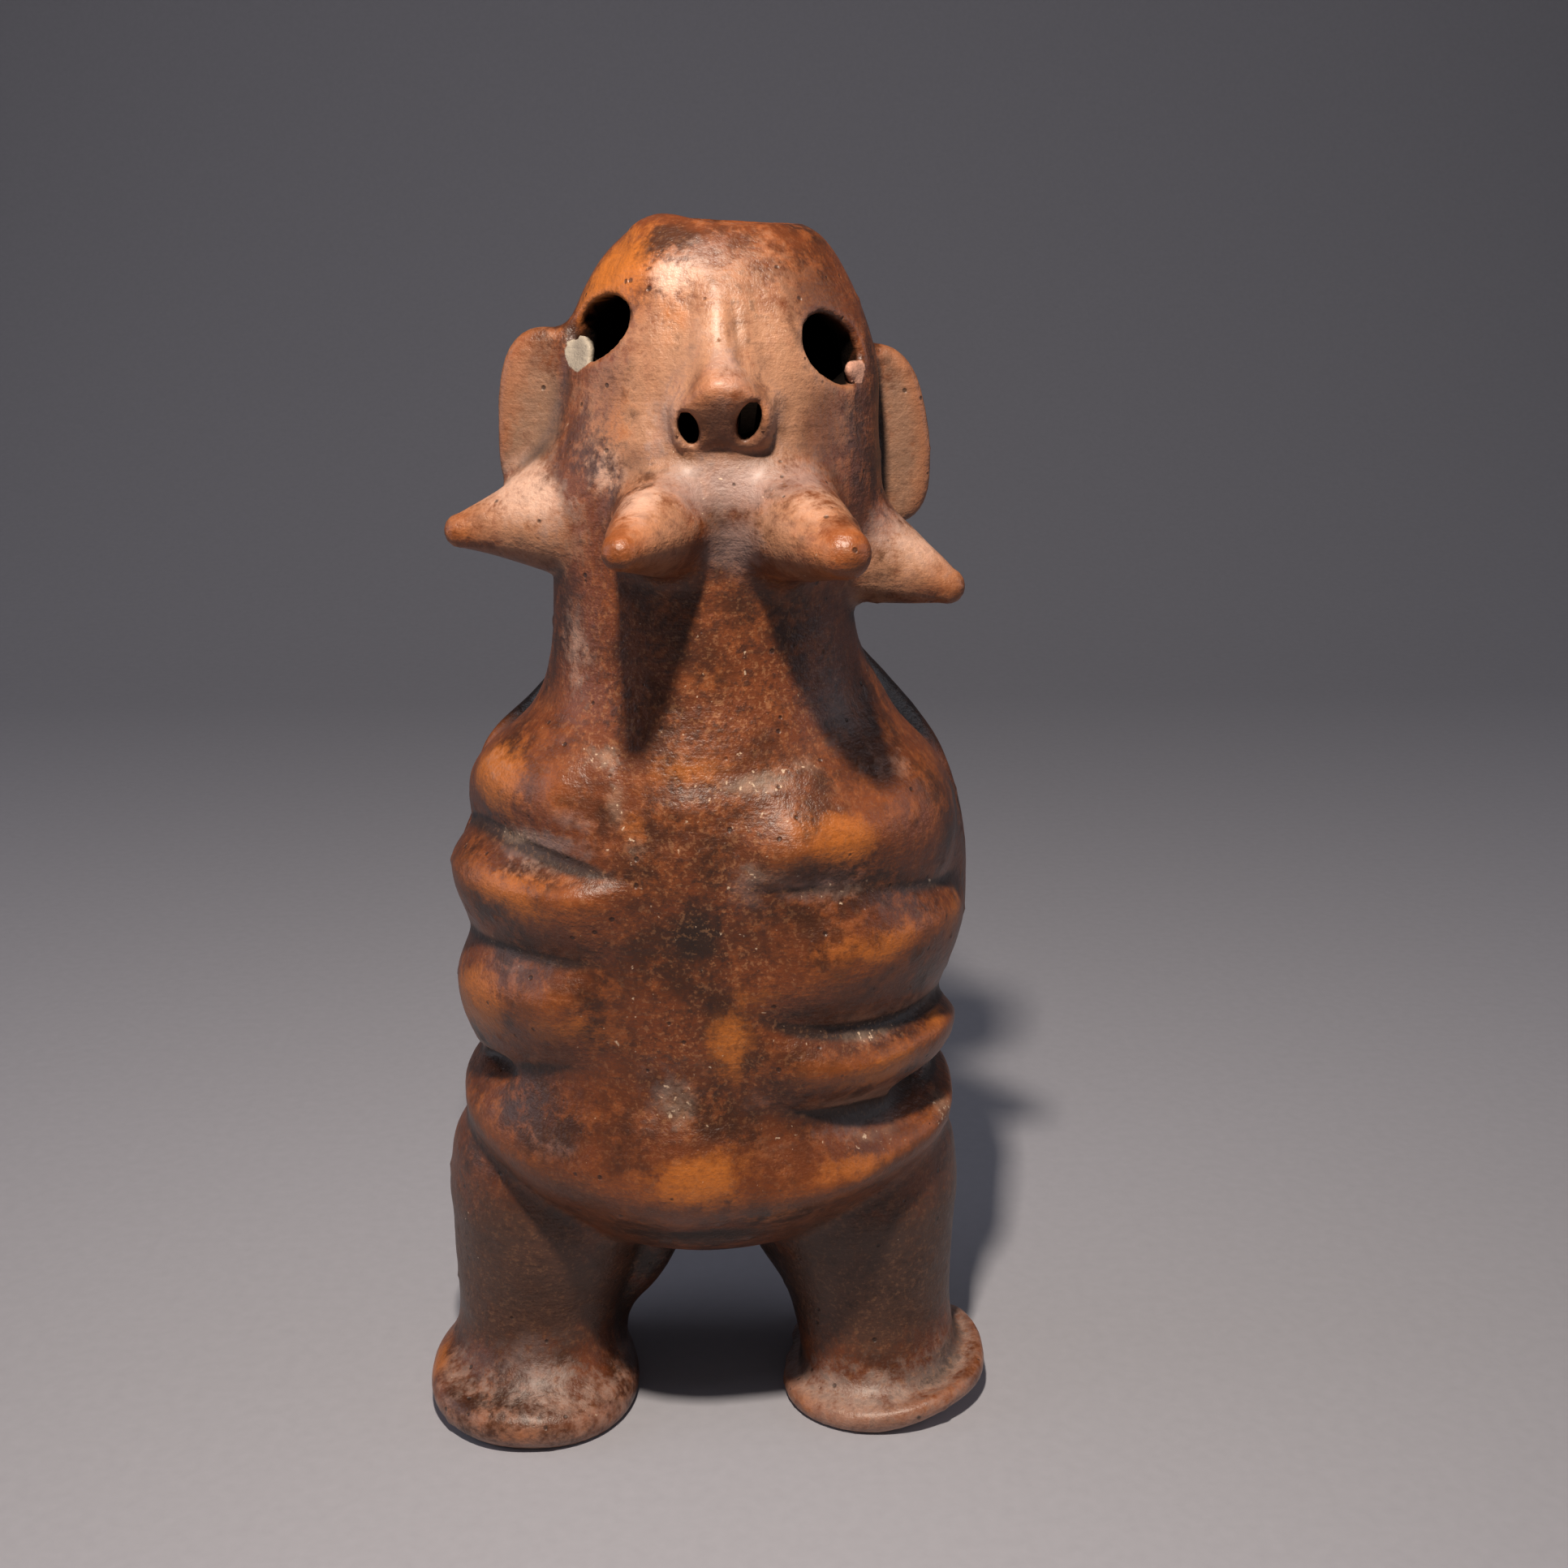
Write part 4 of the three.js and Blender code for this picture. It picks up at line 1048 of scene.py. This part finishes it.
# %% Material: coats, gloss and fine bump
# Burnished slip is between satin and gloss. The dirt and painted shade in the creases, chalk, the fillers
# and the unrubbed inside are matt.
COATS = [
    ("#693417", "browns"), ("#80431c", "reds"),
    *[(layer[1], layer[0] + " cloud") for layer in LAYERS],
    # on the next line the pale dusty coat is partly painted light, and the near-black crease coat is painted
    # shade with some dirt
    ("#a85c26", "rubbed"), ("#8a5740", "face_streaks"), ("#a3826e", "dust_and_painted_light"), ("#251711", "crease_dirt_and_shade"),
    ("#2c1710", "dark_flecks"), ("#b9855c", "light_flecks"), ("#2a1810", "scratches"),
    ("#a58a76", "chalk"), ("#cbb097", "crumb"), ("#1c110c", "pit"), ("#35201a", "knocked"),
    # the near-black coat on the inner wall is painted shade
    ("#94897b", "white"), ("#a87c6a", "pink"), ("#0e0907", "inside"),
]
colour = paint("#3c1e0e")
for tint, mask in COATS:
    colour = add(clay_tree, "ShaderNodeMix", {"data_type": "RGBA"},
                 {0: known[mask], 6: colour, 7: paint(tint)}).outputs[2]
bump = add(clay_tree, "ShaderNodeBump", None,
           {"Strength": 0.6, "Distance": 0.0006, "Height": known["relief"]}).outputs[0]
shader = add(clay_tree, "ShaderNodeBsdfPrincipled", None, {
    "Base Color": colour, "Roughness": known["gloss_lost"], "Normal": bump, "IOR": 1.48,
    "Specular IOR Level": known["shine"], "Coat Weight": known["coated"], "Coat Roughness": 0.3})
add(clay_tree, "ShaderNodeOutputMaterial", None, {"Surface": shader.outputs[0]})
print("coats", len(COATS), "nodes", len(clay_tree.nodes))

# %% [markdown]
# ## Dressing the vessel
# The skin tree runs on the clay as a modifier, and the result is kept as a plain mesh, so that nothing is
# left live. The piece then stands in for the solid, rides with its body and gets its slot of material. Its
# volume is worked out from its triangles. It comes out less than nothing, because they all face inwards.

# %% Dress the vessel
skin_modifier = vessel.modifiers.new("burnished_skin", "NODES")
skin_modifier.node_group = skin_tree
names = {item.name: item.identifier for item in skin_tree.interface.items_tree if item.in_out == "INPUT"}
skin_modifier[names["Finish"]] = terracotta
skin_modifier[names["Seed"]] = 7
evaluated = vessel.evaluated_get(bpy.context.evaluated_depsgraph_get())
finished = bpy.data.meshes.new_from_object(evaluated)
vessel.modifiers.remove(skin_modifier)
vessel.data = finished
vessel.data.name = "vessel_clay"
vessel.data.shade_smooth()
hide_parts("vessel")
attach(vessel, "root")

corners = np.array([v.co[:] for v in finished.vertices])
finished.calc_loop_triangles()
faces = np.array([t.vertices[:] for t in finished.loop_triangles])
a, b, c = (corners[faces[:, i]] for i in range(3))
litres = float((np.cross(a, b) * c).sum() / 6 * 1000)
print("triangles", len(faces), "clay in litres, more than nothing when faces point out", round(litres, 3))

# %% [markdown]
# ## Camera
# The picture was taken from the height of the crown, close by and looking down, so the feet are further
# away than the face. A camera with the same angle of view stands at the same place.

# %% Camera
VIEW_ANGLE = 45
PITCH = math.radians(17)
YAW = math.radians(2.31)
camera = bpy.data.objects.new("camera", bpy.data.cameras.new("camera"))
bpy.context.scene.collection.objects.link(camera)
camera.location = (0.00213, -0.49205, 0.332)
look = Vector((math.sin(YAW) * math.cos(PITCH), math.cos(YAW) * math.cos(PITCH), -math.sin(PITCH)))
camera.rotation_euler = look.to_track_quat("-Z", "Y").to_euler()
camera.data.angle = math.radians(VIEW_ANGLE)
camera.data.clip_start = 0.01
bpy.context.scene.camera = camera
print("camera at", [round(value, 3) for value in camera.location])

# %% [markdown]
# ## Light
# The main light stands high and close in front, so each horn throws its shadow down the neck, and the head
# is brighter than the feet. A broad weak light on each side fills the folds and draws a pale line along the
# flanks.

# %% Lights
# place and target in metres, the width of the light in metres, its power, its colour
def light(name, place, target, size, watts, tint):
    lamp = bpy.data.lights.new(name, "AREA")
    lamp.energy, lamp.size, lamp.color = watts, size, paint(tint)[:3]
    lamp_object = bpy.data.objects.new(name, lamp)
    bpy.context.scene.collection.objects.link(lamp_object)
    lamp_object.location = place
    aim = Vector(target) - lamp_object.location
    lamp_object.rotation_euler = aim.to_track_quat("-Z", "Y").to_euler()


light("key", (-0.03, -0.29, 0.63), (0, 0, 0.20), 0.035, 4.7, "#fff1e0")
light("left_fill", (-1.2, 0.0, 0.50), (0, 0, 0.15), 0.8, 3.4, "#f1f2ff")
light("right_fill", (1.2, 0.0, 0.50), (0, 0, 0.15), 0.8, 2.2, "#f1f2ff")
world = bpy.data.worlds.new("studio")
bpy.context.scene.world = world
world.use_nodes = True
world.node_tree.nodes["Background"].inputs["Color"].default_value = paint("#cfcfd2")
world.node_tree.nodes["Background"].inputs["Strength"].default_value = 0.12
bpy.context.scene.view_settings.view_transform = "Standard"
print("lights", len(bpy.data.lights))

# %% [markdown]
# ## Floor
# Floor and wall are one sheet of pale matt card that curves up behind, so no line shows where they meet.
# Card is rough and has no shine. A faint pattern of fibres, drawn 4 mm wide where real ones are finer,
# keeps it from being one flat colour.

# %% Pale floor that curves up into a wall
SHEET_WIDTH, SHEET_FRONT, SHEET_BACK, SHEET_CURVE, SHEET_TOP = 6.0, -3.0, 1.6, 0.8, 2.6
profile = [(SHEET_FRONT, 0.0), (SHEET_BACK - SHEET_CURVE, 0.0)]
for i in range(1, 17):
    bend = math.pi / 2 * i / 16
    profile.append((SHEET_BACK - SHEET_CURVE * (1 - math.sin(bend)), SHEET_CURVE * (1 - math.cos(bend))))
profile.append((SHEET_BACK, SHEET_TOP))
sheet = bpy.data.meshes.new("studio_floor")
sheet_points = [(x, y, z) for y, z in profile for x in (-SHEET_WIDTH / 2, SHEET_WIDTH / 2)]
sheet_faces = [(2 * i, 2 * i + 1, 2 * i + 3, 2 * i + 2) for i in range(len(profile) - 1)]
sheet.from_pydata(sheet_points, [], sheet_faces)
sheet.shade_smooth()
floor = bpy.data.objects.new("studio_floor", sheet)
bpy.context.scene.collection.objects.link(floor)
card = bpy.data.materials.new("pale_card")
card.use_nodes = True
card_tree = card.node_tree
card_shader = card_tree.nodes["Principled BSDF"]
card_shader.inputs["Roughness"].default_value = 0.9
card_place = add(card_tree, "ShaderNodeTexCoord").outputs["Object"]
fibre = add(card_tree, "ShaderNodeTexNoise", None, {"Vector": card_place, "Scale": 1 / 0.004, "Detail": 3.0})
shade = add(card_tree, "ShaderNodeMix", {"data_type": "RGBA"},
            {0: fibre.outputs[0], 6: paint("#a0a0a9"), 7: paint("#aaaab3")})
card_tree.links.new(shade.outputs[2], card_shader.inputs["Base Color"])
sheet.materials.append(card)
print("floor sheet of", len(sheet.polygons), "faces")
